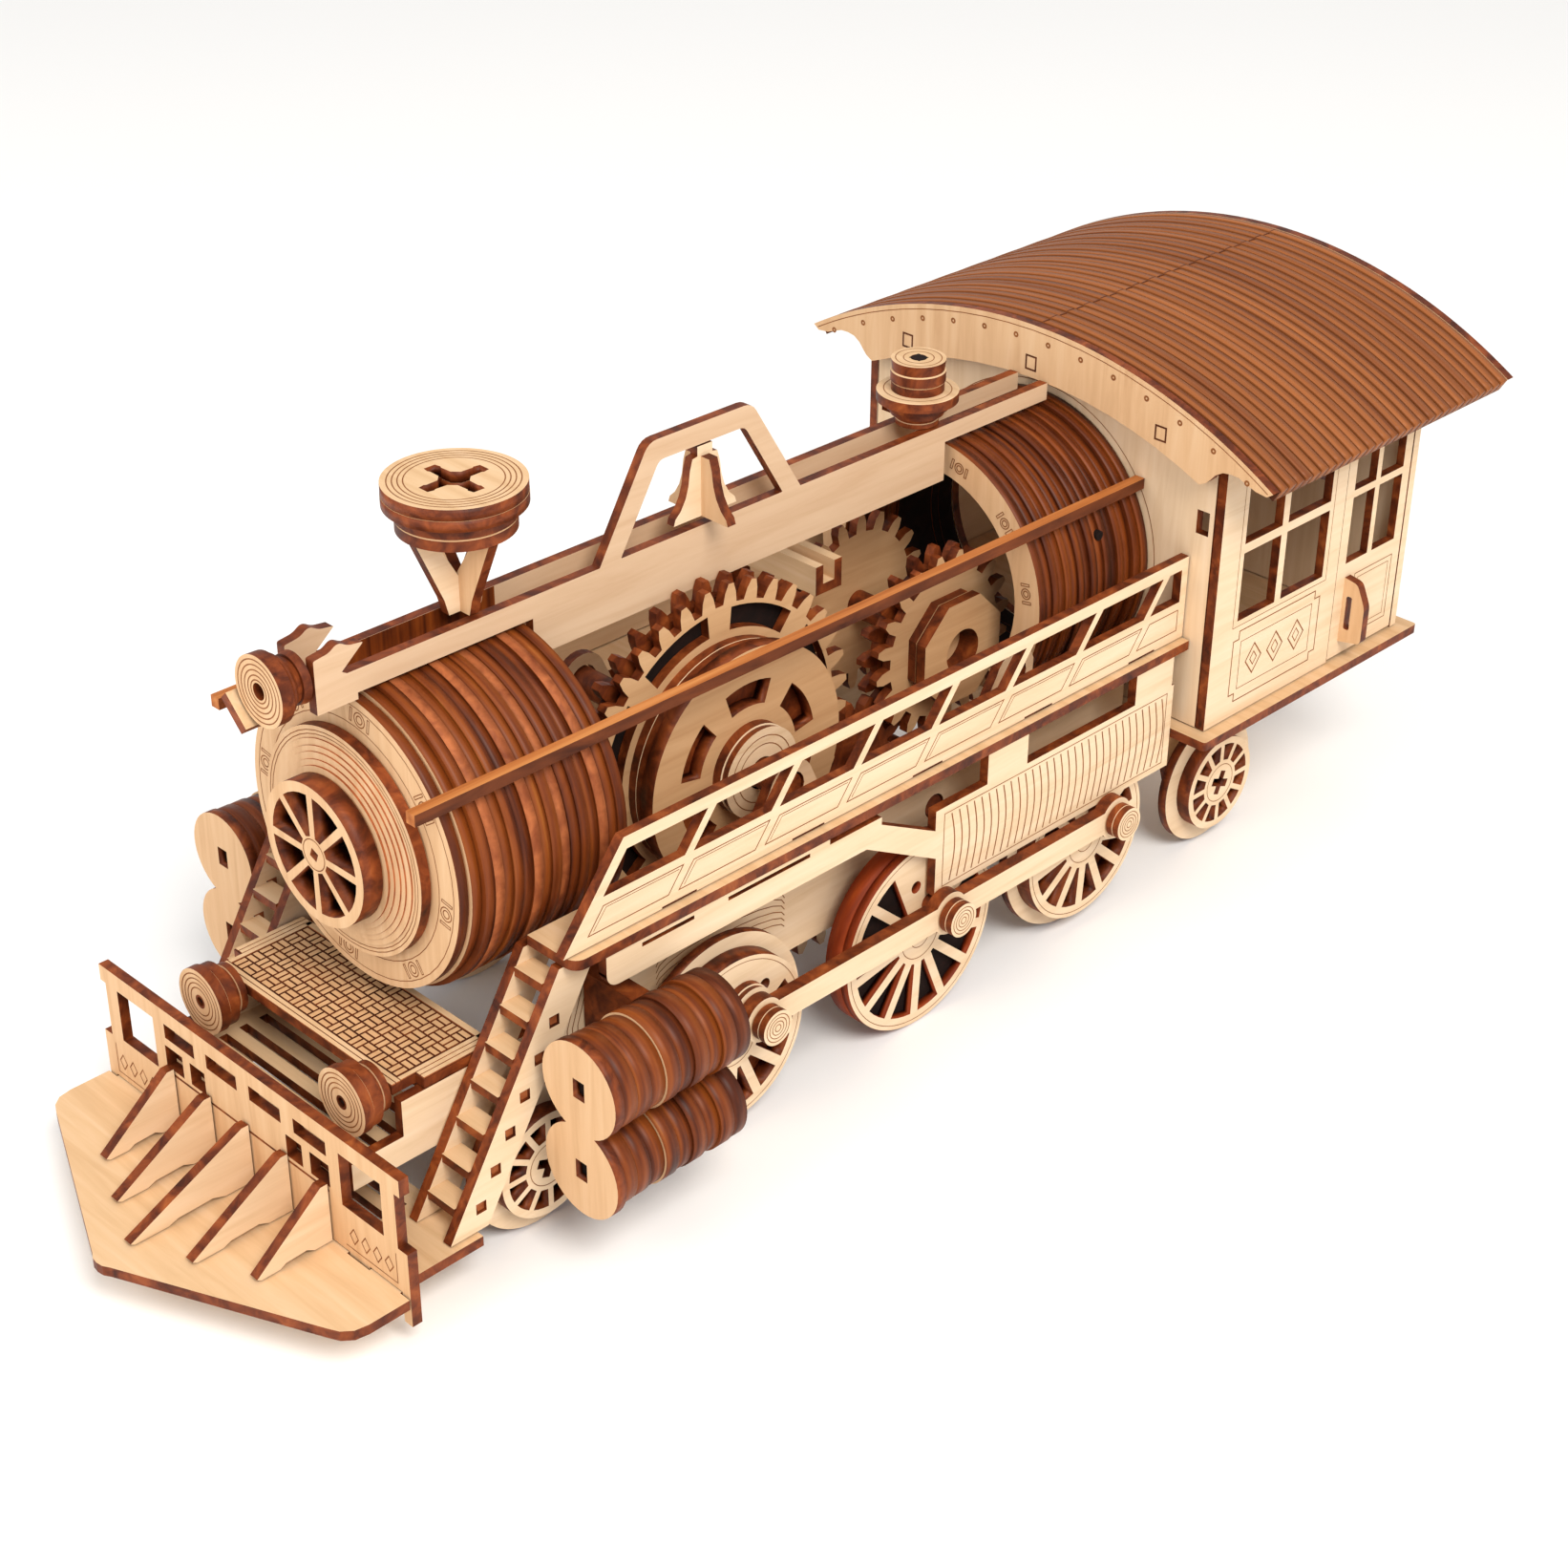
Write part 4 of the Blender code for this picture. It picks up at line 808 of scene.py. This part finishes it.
def railing():
    x0, y0, z0, x1, y1, z1 = B("railing_left")
    slant = 0.78
    sill, head = 65.6, 72.6
    holes = []
    for k in range(8):
        x = 77 - 20.4 * k
        top = x - slant * (head - sill)
        if k < 7:
            holes.append([(x, sill), (top, head), (top - 18.4, head), (x - 18.4, sill)])
        else:
            holes.append([(x, sill), (top, head), (x0 + 1.9, head), (x0 + 1.9, sill)])
    outline = [(x0, z0), (x1, z0), (x1 - slant * (z1 - z0), z1), (x0, z1)]
    part = Part().plate("xz", outline, holes, y0, y1)
    low, high = 59.4, 63.9
    for k in range(8):
        x = 80.5 - 20.4 * k
        xr = x - 18 if k < 7 else x0 + 2.2
        rise = slant * (high - low)
        back = xr - rise if k < 7 else xr
        quad = [(x, low), (x - rise, high), (back, high), (xr, low)]
        part.ribbon("xz", quad, y1 + LIFT, 0.2, True)
        if k < 7:
            inner = [(x - 1.2, low + 0.5), (x - rise + 1 - 1.6, high - 0.5), (back + 1, high - 0.5)]
            part.ribbon("xz", inner, y1 + LIFT, 0.12)
    for k in range(5):
        x = 60 - 31 * k
        slot = rect(x - 4, z0, x + 4, z0 + 0.35)
        part.plate("xz", slot, [], y1 - 0.02, y1 + 0.02, "dark_line", "dark_line")
    return part


def skirt():
    x0, y0, z0, x1, y1, z1 = B("skirt_left")
    top = z1
    outline = [(x1, top), (x1, 50.6)] + arc(x1 - 2.6, 51, 2.6, 0, -pi / 2, 6)
    outline += [(15.4, 48.4), (-3.6, 38), (-3.6, z0), (x0, z0), (x0, 48.2), (x0 + 0.7, 48.2), (x0 + 0.7, top)]
    outline += [(-61.3, top), (-61.3, 48.2), (-28.8, 48.2), (-28.8, top), (-17.4, top)]
    outline += [(-17.4, 48.4), (-3.2, 48.4), (-3.2, 44.2), (11.6, 52), (11.6, 53.6)]
    outline += [(25, 53.6), (25, top)]
    slots = [rect(30, 53.2, 50, 54), rect(58, 53.2, 70, 54)]
    part = Part().plate("xz", outline, slots, y0, y1)
    deep = y1 + LIFT
    part.ribbon("xz", rect(-71.6, 31, -5.6, 46.9), deep, 0.18, True)
    for k in range(31):
        x = -7.6 - 2.08 * k
        pts = [(x - 1.15 * sin(pi * t / 8), 46.3 - 14.8 * t / 8) for t in range(9)]
        part.ribbon("xz", pts, deep, 0.3, False, "line")
    return part


def frame_side():
    b = B("frame_side_left")
    y0, y1 = b[1], b[4]
    main = joint_pos("flywheel_gear_spin")
    counter = joint_pos("counter_gear_spin")
    top = 51.8
    outline = [(80, 24.2), (80, 34.7), (74, top), (60, top), (58, 54), (32, 54)]
    outline += arc(main[0], main[2], 5.6, 0.3, pi - 0.3, 10) + [(14, 54), (-29, 54)]
    outline += arc(counter[0], counter[2], 5.6, 0.3, pi - 0.3, 10)
    outline += [(-43.6, 54), (-44.2, top), (-73.4, top), (-73.4, 35.7), (-108, 35.7), (-106, 20)]
    outline += [(-102, 9.6), (-93, 9.6), (-89, 22), (-74, 24), (-60, 24), (-57, 15.4)]
    outline += [(-47, 15.4), (-44, 24), (-11, 24), (-8, 15.4), (2, 15.4), (5, 24)]
    outline += [(38, 24), (41, 15.4), (51, 15.4), (54, 24.2)]
    holes = []
    for name in ("driver_1_spin", "driver_2_spin", "driver_3_spin", "trailing_wheel_spin", "idler_gear_spin"):
        p = joint_pos(name)
        holes.append(circle(p[0], p[2], 2.6, 16))
    holes += [circle(p[0], p[2], 3.25, 16) for p in (main, counter)]
    holes += [rect(24, 38, 40, 39.6), rect(22, 41.6, 40, 43.2)]
    part = Part().plate("xz", outline, holes, y0, y1)
    deep = y1 + LIFT
    for k in range(5):
        inset = 1.4 * k
        pts = [(62 - inset, 47 - inset * 0.6), (48, 47 - inset), (30, 46.4 - inset)]
        pts.append((6 + inset, 50 - inset * 1.1))
        part.ribbon("xz", pts, deep, 0.2)
    for k in range(6):
        turns = [t / 10 * pi for t in range(11)]
        pts = [(40 - 16 * cos(a), 30 + k * 1.25 + (2.6 + 0.3 * k) * sin(a)) for a in turns]
        part.ribbon("xz", pts, deep, 0.2)
    for k in range(4):
        x = 78 - 1.2 * k
        part.ribbon("xz", [(x, 27 + k), (x, 33), (x - 5, 48), (64, 48 - 0.2 * k)], deep, 0.2)
    return part


def cylinder_plies(part, x0, x1, cy, cz, shrink):
    radii = [8.5, 8.7, 8.3, 8.65, 8.4, 8.7, 8.35, 8.6, 8.7]
    for i, (r, (lo, hi)) in enumerate(zip(radii, ply_spans(x0, x1, len(radii), 0.05))):
        face = "face_x" if i in (2, 5, 8) else "ring"
        part.disc("yz", (cy, cz), r - shrink, 56, [], lo, hi, face, "ring", "ring")


def cylinders():
    for label, s in SIDES:
        b = B("cylinder_%s_upper" % label)
        low = B("cylinder_%s_lower" % label)
        r = 9
        cy = s * 49.5
        zu = 39.4
        zl = 22.8
        fx = b[3]
        meet = asin((zu - zl) / 2 / r)
        upper = arc(cy, zu, r, -meet, pi + meet, 36)
        lower = arc(cy, zl, r, pi - meet, 2 * pi + meet, 36)
        holes = [rect(cy - 1.4, z - 1.9, cy + 1.4, z + 1.9) for z in (zu, zl)]
        part = Part().plate("yz", upper[:-1] + lower[:-1], holes, fx - 2, fx, None, "edge", None, True)
        for z in (zu, zl):
            part.plate("yz", circle(cy, z, 2.6, 12), [], fx - 2.1, fx - 1.4, "dark", "dark")
        cylinder_plies(part, b[0], fx - 2, cy, zu, 0)
        part.plate("xz", rect(69, 32, 73, 44), [], *sorted((s * 29.3, s * 45.5)), "edge", "edge")
        show(part, "cylinder_%s_upper" % label)
        part = Part()
        cylinder_plies(part, low[0], low[3], cy, (low[2] + low[5]) / 2, 0.8)
        show(part, "cylinder_%s_lower" % label)


# --- cab
ROOF = B("roof")
FASCIA = B("roof_fascia_front")
HALF = FASCIA[4]
TOP = ROOF[5]
RISE = 16.7
RR = (HALF ** 2 + RISE ** 2) / (2 * RISE)
RC = TOP - RR


def roof_z(y, radius):
    return RC + sqrt(radius ** 2 - y ** 2)


def fascia(node, outward):
    b = B(node)
    top = [(y, roof_z(y, RR)) for y in [HALF * sin(pi / 2 * k / 24) for k in range(25)]]
    low = [(y, roof_z(y, RR - 11)) for y in (43, 38, 32, 26, 20, 14, 7, 0)]
    curl = [(58.6, 95), (56, 95.3), (54, 96), (52, 96.8), (50, 96.9), (48.2, 96.6)]
    curl += [(46.6, 95.6), (45.4, 94.2), (44.6, 93.4)]
    right = top + curl + low
    outline = right + [(-y, z) for y, z in reversed(right[1:-1])]
    part = Part().plate("yz", outline, [], b[0], b[3])
    face = b[3] + LIFT if outward > 0 else b[0] - LIFT
    for k in range(14):
        y = -54 + 8.3 * k
        part.rings("yz", y, roof_z(y, RR) - 3.1, (0.42,), face, 0.4, "line", 12)
    across = [HALF * sin(radians(a)) * 0.985 for a in range(-84, 85, 6)]
    part.ribbon("yz", [(y, roof_z(y, RR) - 1.1) for y in across], face, 0.18)
    for y in (-33, 0, 33):
        z = roof_z(y, RR)
        part.ribbon("yz", rect(y - 1.25, z - 9.4, y + 1.25, z - 6.6), face, 0.4, True, "dark_line")
    show(part, node)


def roof():
    part = Part()
    n = 30
    x0, x1 = ROOF[0], ROOF[3]
    half = asin(HALF / RR)
    inner = RR - 3
    step = (x1 - x0) / n
    for i in range(n):
        lo = x0 + step * i
        tall = RR - (0, 0.12, 0.04, 0.16)[i % 4]
        groove = lo + step * 0.8
        for a, b, r, mat in ((lo, groove, tall, "roof"), (groove, lo + step, RR - 0.5, "groove")):
            outline = arc(0, RC, r, pi / 2 - half, pi / 2 + half, 72)
            outline += arc(0, RC, inner, pi / 2 + half, pi / 2 - half, 40)
            part.plate("yz", outline, [], a, b, mat, mat, None, True)
        shift = 0.25 if i % 2 else -0.1
        seam = rect(lo + 0.06, shift - 0.13, lo + step * 0.78, shift + 0.13)
        part.plate("xy", seam, [], TOP - 0.3, TOP + 0.01, "groove", "groove")
    show(part, "roof")
    fascia("roof_fascia_front", 1)
    fascia("roof_fascia_rear", -1)


def panes(columns, rows):
    return [rect(x0, z0, x1, z1) for x0, x1 in columns for z0, z1 in rows]


def diamond(cx, cz, half, tall):
    return [(cx - half, cz), (cx, cz + tall), (cx + half, cz), (cx, cz - tall)]


def cab_side():
    x0, y0, z0, x1, y1, z1 = B("cab_side_left")
    d = B("cab_door_left")
    outline = [(x0, z0), (d[0] - 0.3, z0), (d[0] - 0.3, d[5] + 0.3), (d[3] + 0.3, d[5] + 0.3), (d[3] + 0.3, z0)]
    outline += [(x1, z0), (x1, z1), (x0, z1)]
    windows = panes(((-97.4, -85.2), (-113.8, -99.4)), ((60.2, 75.2), (77.2, 91.2)))
    part = Part().plate("xz", outline, windows, y0, y1)
    deep = y1 + LIFT
    fx0, fx1, fz0, fz1 = -113.8, -84.6, 41.6, 57.6
    notch = 1.8
    ax, bx, az, bz = fx0 + notch, fx1 - notch, fz0 + notch, fz1 - notch
    ring = [(ax, fz0), (bx, fz0), (bx, az), (fx1, az), (fx1, bz), (bx, bz), (bx, fz1), (ax, fz1), (ax, bz)]
    ring += [(fx0, bz), (fx0, az), (ax, az)]
    part.ribbon("xz", ring, deep, 0.25, True)
    part.ribbon("xz", rect(fx0 + 2.6, fz0 + 2.6, fx1 - 2.6, fz1 - 2.6), deep, 0.16, True)
    cx, cz = (fx0 + fx1) / 2, (fz0 + fz1) / 2
    for k in (-1, 0, 1):
        part.ribbon("xz", diamond(cx + 7.2 * k, cz, 2.6, 3.4), deep, 0.3, True)
        part.ribbon("xz", diamond(cx + 7.2 * k, cz, 1.1, 1.5), deep, 0.22, True)
    part.ribbon("xz", rect(-115.2, 59, -83.8, 92.4), deep, 0.14, True)
    return part


def door():
    x0, y0, z0, x1, y1, z1 = B("cab_door_left")
    leaf = 46.7
    windows = panes(((-139.6, -131.4), (-129.8, -122.2)), ((60.2, 75.2), (76.8, 89.4)))
    part = Part().plate("xz", rect(x0, z0, x1, z1), windows, y0, leaf)
    gx, hx = -124.6, -122.6
    grip = rounded([(leaf - 0.4, 42), (y1, 43.2), (y1, 51.6), (50, 56.4), (leaf - 0.4, 57)], [0, 1, 1, 1, 0])
    part.plate("yz", grip, [rounded(rect(47.7, 45.4, 49.1, 53), 0.5)], gx, hx)
    deep = leaf + LIFT
    part.ribbon("xz", rect(-139.6, 42, -126.2, 56.6), deep, 0.2, True)
    part.ribbon("xz", rect(-138.4, 43.2, -127.4, 55.4), deep, 0.14, True)
    return part


def cab():
    b = B("cab_floor")
    part = Part().plate("xy", rounded(rect(b[0], b[1], b[3], b[4]), 0.8), [], b[2], b[5])
    show(part, "cab_floor")
    front = [circle(0, BZ, 22.6, 64), rect(40.4, 80.2, 43.4, 85.2), rect(-43.4, 80.2, -40.4, 85.2)]
    rear = [rounded(rect(c - 9, 66, c + 9, 90), 1.2) for c in (24, -24)]
    for node, ports in (("cab_front_wall", front), ("cab_rear_wall", rear)):
        b = B(node)
        half = b[4]
        top = [(y, roof_z(y, RR - 3.6)) for y in (half, half * 0.75, half * 0.5, half * 0.25, 0)]
        top += [(-y, z) for y, z in reversed(top[:-1])]
        # the walls take the lighter side-face tones, as painted light
        part = Part().plate("yz", [(-half, b[2]), (half, b[2])] + top, ports, b[0], b[3], "wall")
        if node == "cab_front_wall":
            part.rings("yz", 0, BZ, (31.2,), b[3] + LIFT, 0.2, "line", 72)
        show(part, node)


# --- running gear
def window_ring(cx, cz, r0, r1, count, gap, start=0, skip=()):
    """Openings between spokes that are gap wide."""
    w0 = pi / count - gap / (2 * r0)
    w1 = pi / count - gap / (2 * r1)
    angles = [start + 2 * pi * k / count for k in range(count) if k not in skip]
    return [spoke_gap(cx, cz, r0, r1, a, w0, w1) for a in angles]


def span(side, near, far):
    """Depths across y of a sheet on the left (1) or right (-1)."""
    return sorted((side * near, side * far))


def shaft(part, centre, radius, half, count=24):
    return part.turned("y", centre, [(-half, 0), (-half, radius), (half, radius), (half, 0)], count, "edge")


def small_wheelset(node, joint):
    x, _, z = joint_pos(joint)
    b = B(node)
    part = Part()
    face = b[4]
    back = face - 5.2
    centre = (x, z)
    shaft(part, centre, 2.2, back + 0.6, 20)
    arm, w = 3.4, 1.1
    hub = [(w, arm), (w, w), (arm, w), (arm, -w), (w, -w), (w, -arm)]
    hub += [(-u, -v) for u, v in hub]
    hole = [(x + 0.74 * (u - 0.4 * v), z + 0.74 * (v + 0.4 * u)) for u, v in hub]
    windows = window_ring(x, z, 5.3, 9, 12, 1.15, pi / 12)
    for s in (-1, 1):
        part.disc("xz", centre, 14.2, 72, [], *span(s, back, back + 2))
        part.disc("xz", centre, 10.5, 64, windows + [hole], *span(s, back + 2, face))
        part.plate("xz", circle(x, z, 9.6, 40), [], *span(s, back + 2, back + 2.05), "dark", "dark")
        part.rings("xz", x, z, (4.3,), s * (face + LIFT), 0.16, "line", 32)
    show(part, node)


ROD = B("coupling_rod_left")
PIN = joint_pos("coupling_rod_left_pin")


def driver(index):
    node = "driver_wheelset_%d" % index
    x, _, z = joint_pos("driver_%d_spin" % index)
    mid = joint_pos("driver_2_spin")
    dx, dz = PIN[0] - mid[0], PIN[2] - mid[2]
    turn = atan2(dz, dx)
    px, pz = x + dx, z + dz
    b = B(node)
    part = Part()
    centre = (x, z)
    shaft(part, centre, 2.2, 33.2, 20)
    wide = index == 2
    split = 36.7 if wide else 34.9
    tread = 19.9 if wide else 17.2
    face = 38.6
    flange, rim, deep = ("tyre", "tyre", "dark") if wide else (None, "edge", "edge")
    holes = window_ring(x, z, 6.2, tread - 2.4, 14, 2, turn, (0, 1, 13))
    for a in (turn - 0.42, turn + 0.42):
        holes.append(circle(x + 11.6 * cos(a), z + 11.6 * sin(a), 1.3, 14))
    holes.append(circle(x, z, 1.5, 4, 0.5))
    for s in (-1, 1):
        part.disc("xz", centre, 20, 96, [], *span(s, 33, split), flange, rim)
        part.disc("xz", centre, tread, 88, holes, *span(s, split, face), None, rim)
        part.plate("xz", circle(x, z, tread - 1.6, 48), [], *span(s, split, split + 0.05), deep, "dark")
        part.rings("xz", x, z, (tread - 0.9,), s * (face + LIFT), 0.14, "line", 72)
        part.rings("xz", x, z, (5, 2.6), s * (face + LIFT), 0.16, "line", 40)
        pin = [(face, 0), (face, 1.8)]
        if index == 1:
            pin = [(face, 0), (face, 5.2), (40, 5.2), (40.1, 4.9), (41.2, 5.1), (41.2, 1.8)]
        pin += [(44.6, 1.8), (44.6, 3.5), (46, 3.5), (46.1, 3.2), (46.2, 3.5), (b[4], 3.5), (b[4], 0)]
        p = Part().turned("y", (px, pz), pin, 36)
        p.rings("xz", px, pz, (2.8, 2.1, 1.4, 0.7), b[4] + LIFT, 0.17, "line", 28)
        if s < 0:
            p.mirror_y()
        part.join(p)
    if wide:
        part.plate("xz", gear(x, z, TEETH["pinion"], PHASE["pinion"]), [], 8.5, 10.7)
    show(part, node)


def rod():
    z = PIN[2]
    ends = [joint_pos("driver_%d_spin" % k)[0] + PIN[0] - joint_pos("driver_2_spin")[0] for k in (1, 2, 3)]
    eye, half = 4.4, 2.5
    t = asin(half / eye)
    outline = arc(ends[0], z, eye, -pi + t, pi - t, 36) + arc(ends[1], z, eye, t, pi - t, 18)
    outline += arc(ends[2], z, eye, t, 2 * pi - t, 36) + arc(ends[1], z, eye, pi + t, 2 * pi - t, 18)
    holes = [circle(x, z, 2.25, 24) for x in ends]
    return Part().plate("xz", outline, holes, ROD[1], ROD[4])


# --- gears
MODULE = 1.76


def gear(cx, cz, teeth, phase, slack=0.16):
    pitch = MODULE * teeth / 2
    base = pitch * cos(radians(20))
    root, tip = pitch - 1.2 * MODULE, pitch + 0.95 * MODULE
    inv = tan(radians(20)) - radians(20)
    out = []
    for k in range(teeth):
        mid = phase + 2 * pi * k / teeth
        flank = []
        for radius in (root, pitch, tip):
            angle = acos(min(1, base / max(radius, base)))
            flank.append((radius, pi / (2 * teeth) + inv - (tan(angle) - angle) - slack / (2 * pitch)))
        for radius, half in flank:
            out.append((cx + radius * cos(mid - half), cz + radius * sin(mid - half)))
        for radius, half in reversed(flank):
            out.append((cx + radius * cos(mid + half), cz + radius * sin(mid + half)))
    return out


def mate(first, phase, second):
    """Phase at which the second gear meshes with the first."""
    c1, c2, n1, n2 = CENTRE[first], CENTRE[second], TEETH[first], TEETH[second]
    line = atan2(c2[1] - c1[1], c2[0] - c1[0])
    return line + pi - (pi - n1 * (line - phase)) / n2


SPIN = {"pinion": "driver_2_spin", "main": "flywheel_gear_spin", "idler": "idler_gear_spin"}
SPIN["counter"] = "counter_gear_spin"
CENTRE = {wheel: joint_pos(name)[::2] for wheel, name in SPIN.items()}
NEAR = (8.6, 10.6)  # the two layers of teeth on the flywheel, as depths across y
FAR = (5.15, 7.15)
SHAFT = 28.7  # half the length of a gear shaft
TEETH = {"pinion": 17, "main": 36, "idler": 14, "counter": 20}
PHASE = {"main": pi / 2, "front": pi / 2 + pi / TEETH["main"]}
PHASE["pinion"] = mate("main", PHASE["front"], "pinion")
PHASE["idler"] = mate("main", PHASE["main"], "idler")
PHASE["counter"] = mate("idler", PHASE["idler"], "counter")


def gear_layer(part, name, phase, layer, holes=(), near=True):
    """Toothed sheet; the far ones show only their back."""
    looks = ("gear", ) if near else ("edge", "edge", "gear")
    part.plate("xz", gear(*CENTRE[name], TEETH[name], phase), holes, *layer, *looks)


def odd_angles(count):
    return [pi * (2 * k + 1) / count for k in range(count)]


def flywheel_gear():
    mx, mz = CENTRE["main"]
    part = Part()
    windows = [band(mx, mz, 24.2, 28.7, a - 0.29, a + 0.29) for a in odd_angles(8)]
    gear_layer(part, "main", PHASE["front"], NEAR, windows)
    gear_layer(part, "main", PHASE["main"], FAR, near=False)
    part.turned("y", (mx, mz), [(7.15, 20), (8.6, 20)], 64)
    part.turned("y", (mx, mz), [(8.4, 28.6), (8.4, 20)], 64, "dark")
    prof = [(10.6, 22.6), (12.4, 22.6), (12.5, 22.3), (12.6, 22.6), (14.9, 22.6), (15, 22.3)]
    part.turned("y", (mx, mz), prof, 72)
    slots = [band(mx, mz, 12.2, 17, a - 0.34, a + 0.34) for a in odd_angles(6)]
    part.disc("xz", (mx, mz), 23.6, 96, slots, 15, 18, "gear")
    part.plate("xz", circle(mx, mz, 22, 48), [], 14.9, 15.02, "edge", "edge")
    cap = [(18, 9), (19.9, 9), (20, 8.7), (21.5, 9), (21.5, 3.2), (20.5, 3.2), (20.5, 2.8)]
    part.turned("y", (mx, mz), cap)
    shaft(part, (mx, mz), 2.8, SHAFT)
    part.rings("xz", mx, mz, (7.4, 5.8), 21.5 + LIFT, 0.2, "line", 40)
    show(part, "flywheel_gear")


def counter_gear():
    kx, kz = CENTRE["counter"]
    part = Part()
    gear_layer(part, "counter", PHASE["counter"] + pi / TEETH["counter"], NEAR)
    gear_layer(part, "counter", PHASE["counter"], FAR, near=False)
    gear_layer(part, "counter", PHASE["counter"], (-15, -13))
    part.turned("y", (kx, kz), [(7.1, 12), (8.65, 12)], 40)
    for lo, hi, r in ((10.6, 12.5, 11.2), (12.5, 13.4, 10.9), (13.4, 15.5, 11.8)):
        part.plate("xz", circle(kx, kz, r, 8, pi / 8), [circle(kx, kz, 4.6, 36)], lo, hi, "gear")
    part.turned("y", (kx, kz), [(-SHAFT, 0), (-SHAFT, 2.8), (8, 2.8), (8, 0)], 24, "edge")
    show(part, "counter_gear")


def idler_gear():
    part = Part()
    gear_layer(part, "idler", PHASE["idler"], (5.05, 7.25), near=False)
    show(shaft(part, CENTRE["idler"], 2.2, SHAFT), "idler_gear")


def cross_member():
    b = B("cross_member")
    x0, x1 = b[0], b[3]
    beam = [(x0, 76), (x1, 76), (x1, 82), (x1 - 2, 82), (x1 - 2, 78), (x0 + 2, 78)]
    beam += [(x0 + 2, 82), (x0, 82)]
    part = Part().plate("xz", beam, [], -24, 2.4, "edge", "face_z")
    part.plate("xz", rect(x0, 54.6, x1, 76), [], -24.4, -22.4, "edge")
    part.plate("xz", rect(x0, 46, x1, 56), [], -26.7, -22.4, "edge")
    show(part, "cross_member")


# --- build everything
pilot()
pilot_ribs()
fence()
front_frame()
front_deck()
buffers()
both(stair, "stair")
front_section()
smokebox_ring()
smokebox_door()
smokebox_wheel()
rear_section()
handrails()
beams()
bell()
funnel()
dome()
headlamp()
both(walkway, "walkway")
both(railing, "railing")
both(skirt, "skirt")
both(frame_side, "frame_side")
cylinders()
roof()
both(cab_side, "cab_side")
both(door, "cab_door")
cab()
small_wheelset("pilot_wheelset", "pilot_wheel_spin")
small_wheelset("trailing_wheelset", "trailing_wheel_spin")
for number in (1, 2, 3):
    driver(number)
both(rod, "coupling_rod")
flywheel_gear()
counter_gear()
idler_gear()
cross_member()


# --- stage, light and camera
GROUND = 6  # half the side of the white floor, in metres
GROUND_DROP = -0.0002  # keeps the floor off the wheels' lowest faces
SKY = 0.72
AIM = Vector((0, 0, 0.06))  # the point both lamps face
LAMPS = (  # name, place in metres, power in watts, size, colour
    ("key", (0.35, 0.9, 1.1), 17, 0.6, (1, 0.97, 0.92)),
    ("fill", (1.2, -0.2, 0.7), 7, 0.9, (1, 0.98, 0.95)),
)
CAMERA = Vector((0.3260, 0.3275, 0.3137))  # metres
BACKWARD = Vector((0.6105, 0.6042, 0.5122))  # from the subject to the camera
ROLL = radians(0.54)
SENSOR = 36  # mm
LENS = 63.6248477  # mm


def stage():
    mesh = bpy.data.meshes.new("floor")
    corners = [(x, y, 0) for x, y in rect(-GROUND, -GROUND, GROUND, GROUND)]
    mesh.from_pydata(corners, [], [[0, 1, 2, 3]])
    floor = bpy.data.objects.new("floor", mesh)
    bpy.context.scene.collection.objects.link(floor)
    floor.location = (0, 0, GROUND_DROP)
    mat, _, _, shader = new_mat("floor_white")
    shader.inputs["Base Color"].default_value = (0.93, 0.93, 0.93, 1)
    shader.inputs["Roughness"].default_value = 1
    mesh.materials.append(mat)
    world = bpy.data.worlds.new("studio")
    bpy.context.scene.world = world
    world.use_nodes = True
    sky = world.node_tree.nodes["Background"]
    sky.inputs["Color"].default_value = (1, 0.99, 0.975, 1)
    sky.inputs["Strength"].default_value = SKY
    for name, spot, power, size, tint in LAMPS:
        light = bpy.data.lights.new(name, "AREA")
        light.energy = power
        light.size = size
        light.color = tint
        obj = bpy.data.objects.new(name, light)
        bpy.context.scene.collection.objects.link(obj)
        obj.location = spot
        obj.rotation_euler = (Vector(spot) - AIM).to_track_quat("Z", "Y").to_euler()
    bpy.context.scene.view_settings.view_transform = "Standard"
    bpy.context.scene.view_settings.look = "None"


def camera():
    back = BACKWARD.normalized()
    level = Vector((0, 0, 1)).cross(back).normalized()
    upright = back.cross(level)
    right = level * cos(ROLL) + upright * sin(ROLL)
    up = upright * cos(ROLL) - level * sin(ROLL)
    matrix = Matrix((right, up, back)).transposed().to_4x4()
    matrix.translation = CAMERA
    cam = bpy.data.cameras.new("view")
    cam.sensor_width = SENSOR
    cam.lens = LENS
    cam.clip_start = 0.01
    cam.clip_end = 20
    obj = bpy.data.objects.new("view", cam)
    obj.matrix_world = matrix
    bpy.context.scene.collection.objects.link(obj)
    bpy.context.scene.camera = obj


stage()
camera()
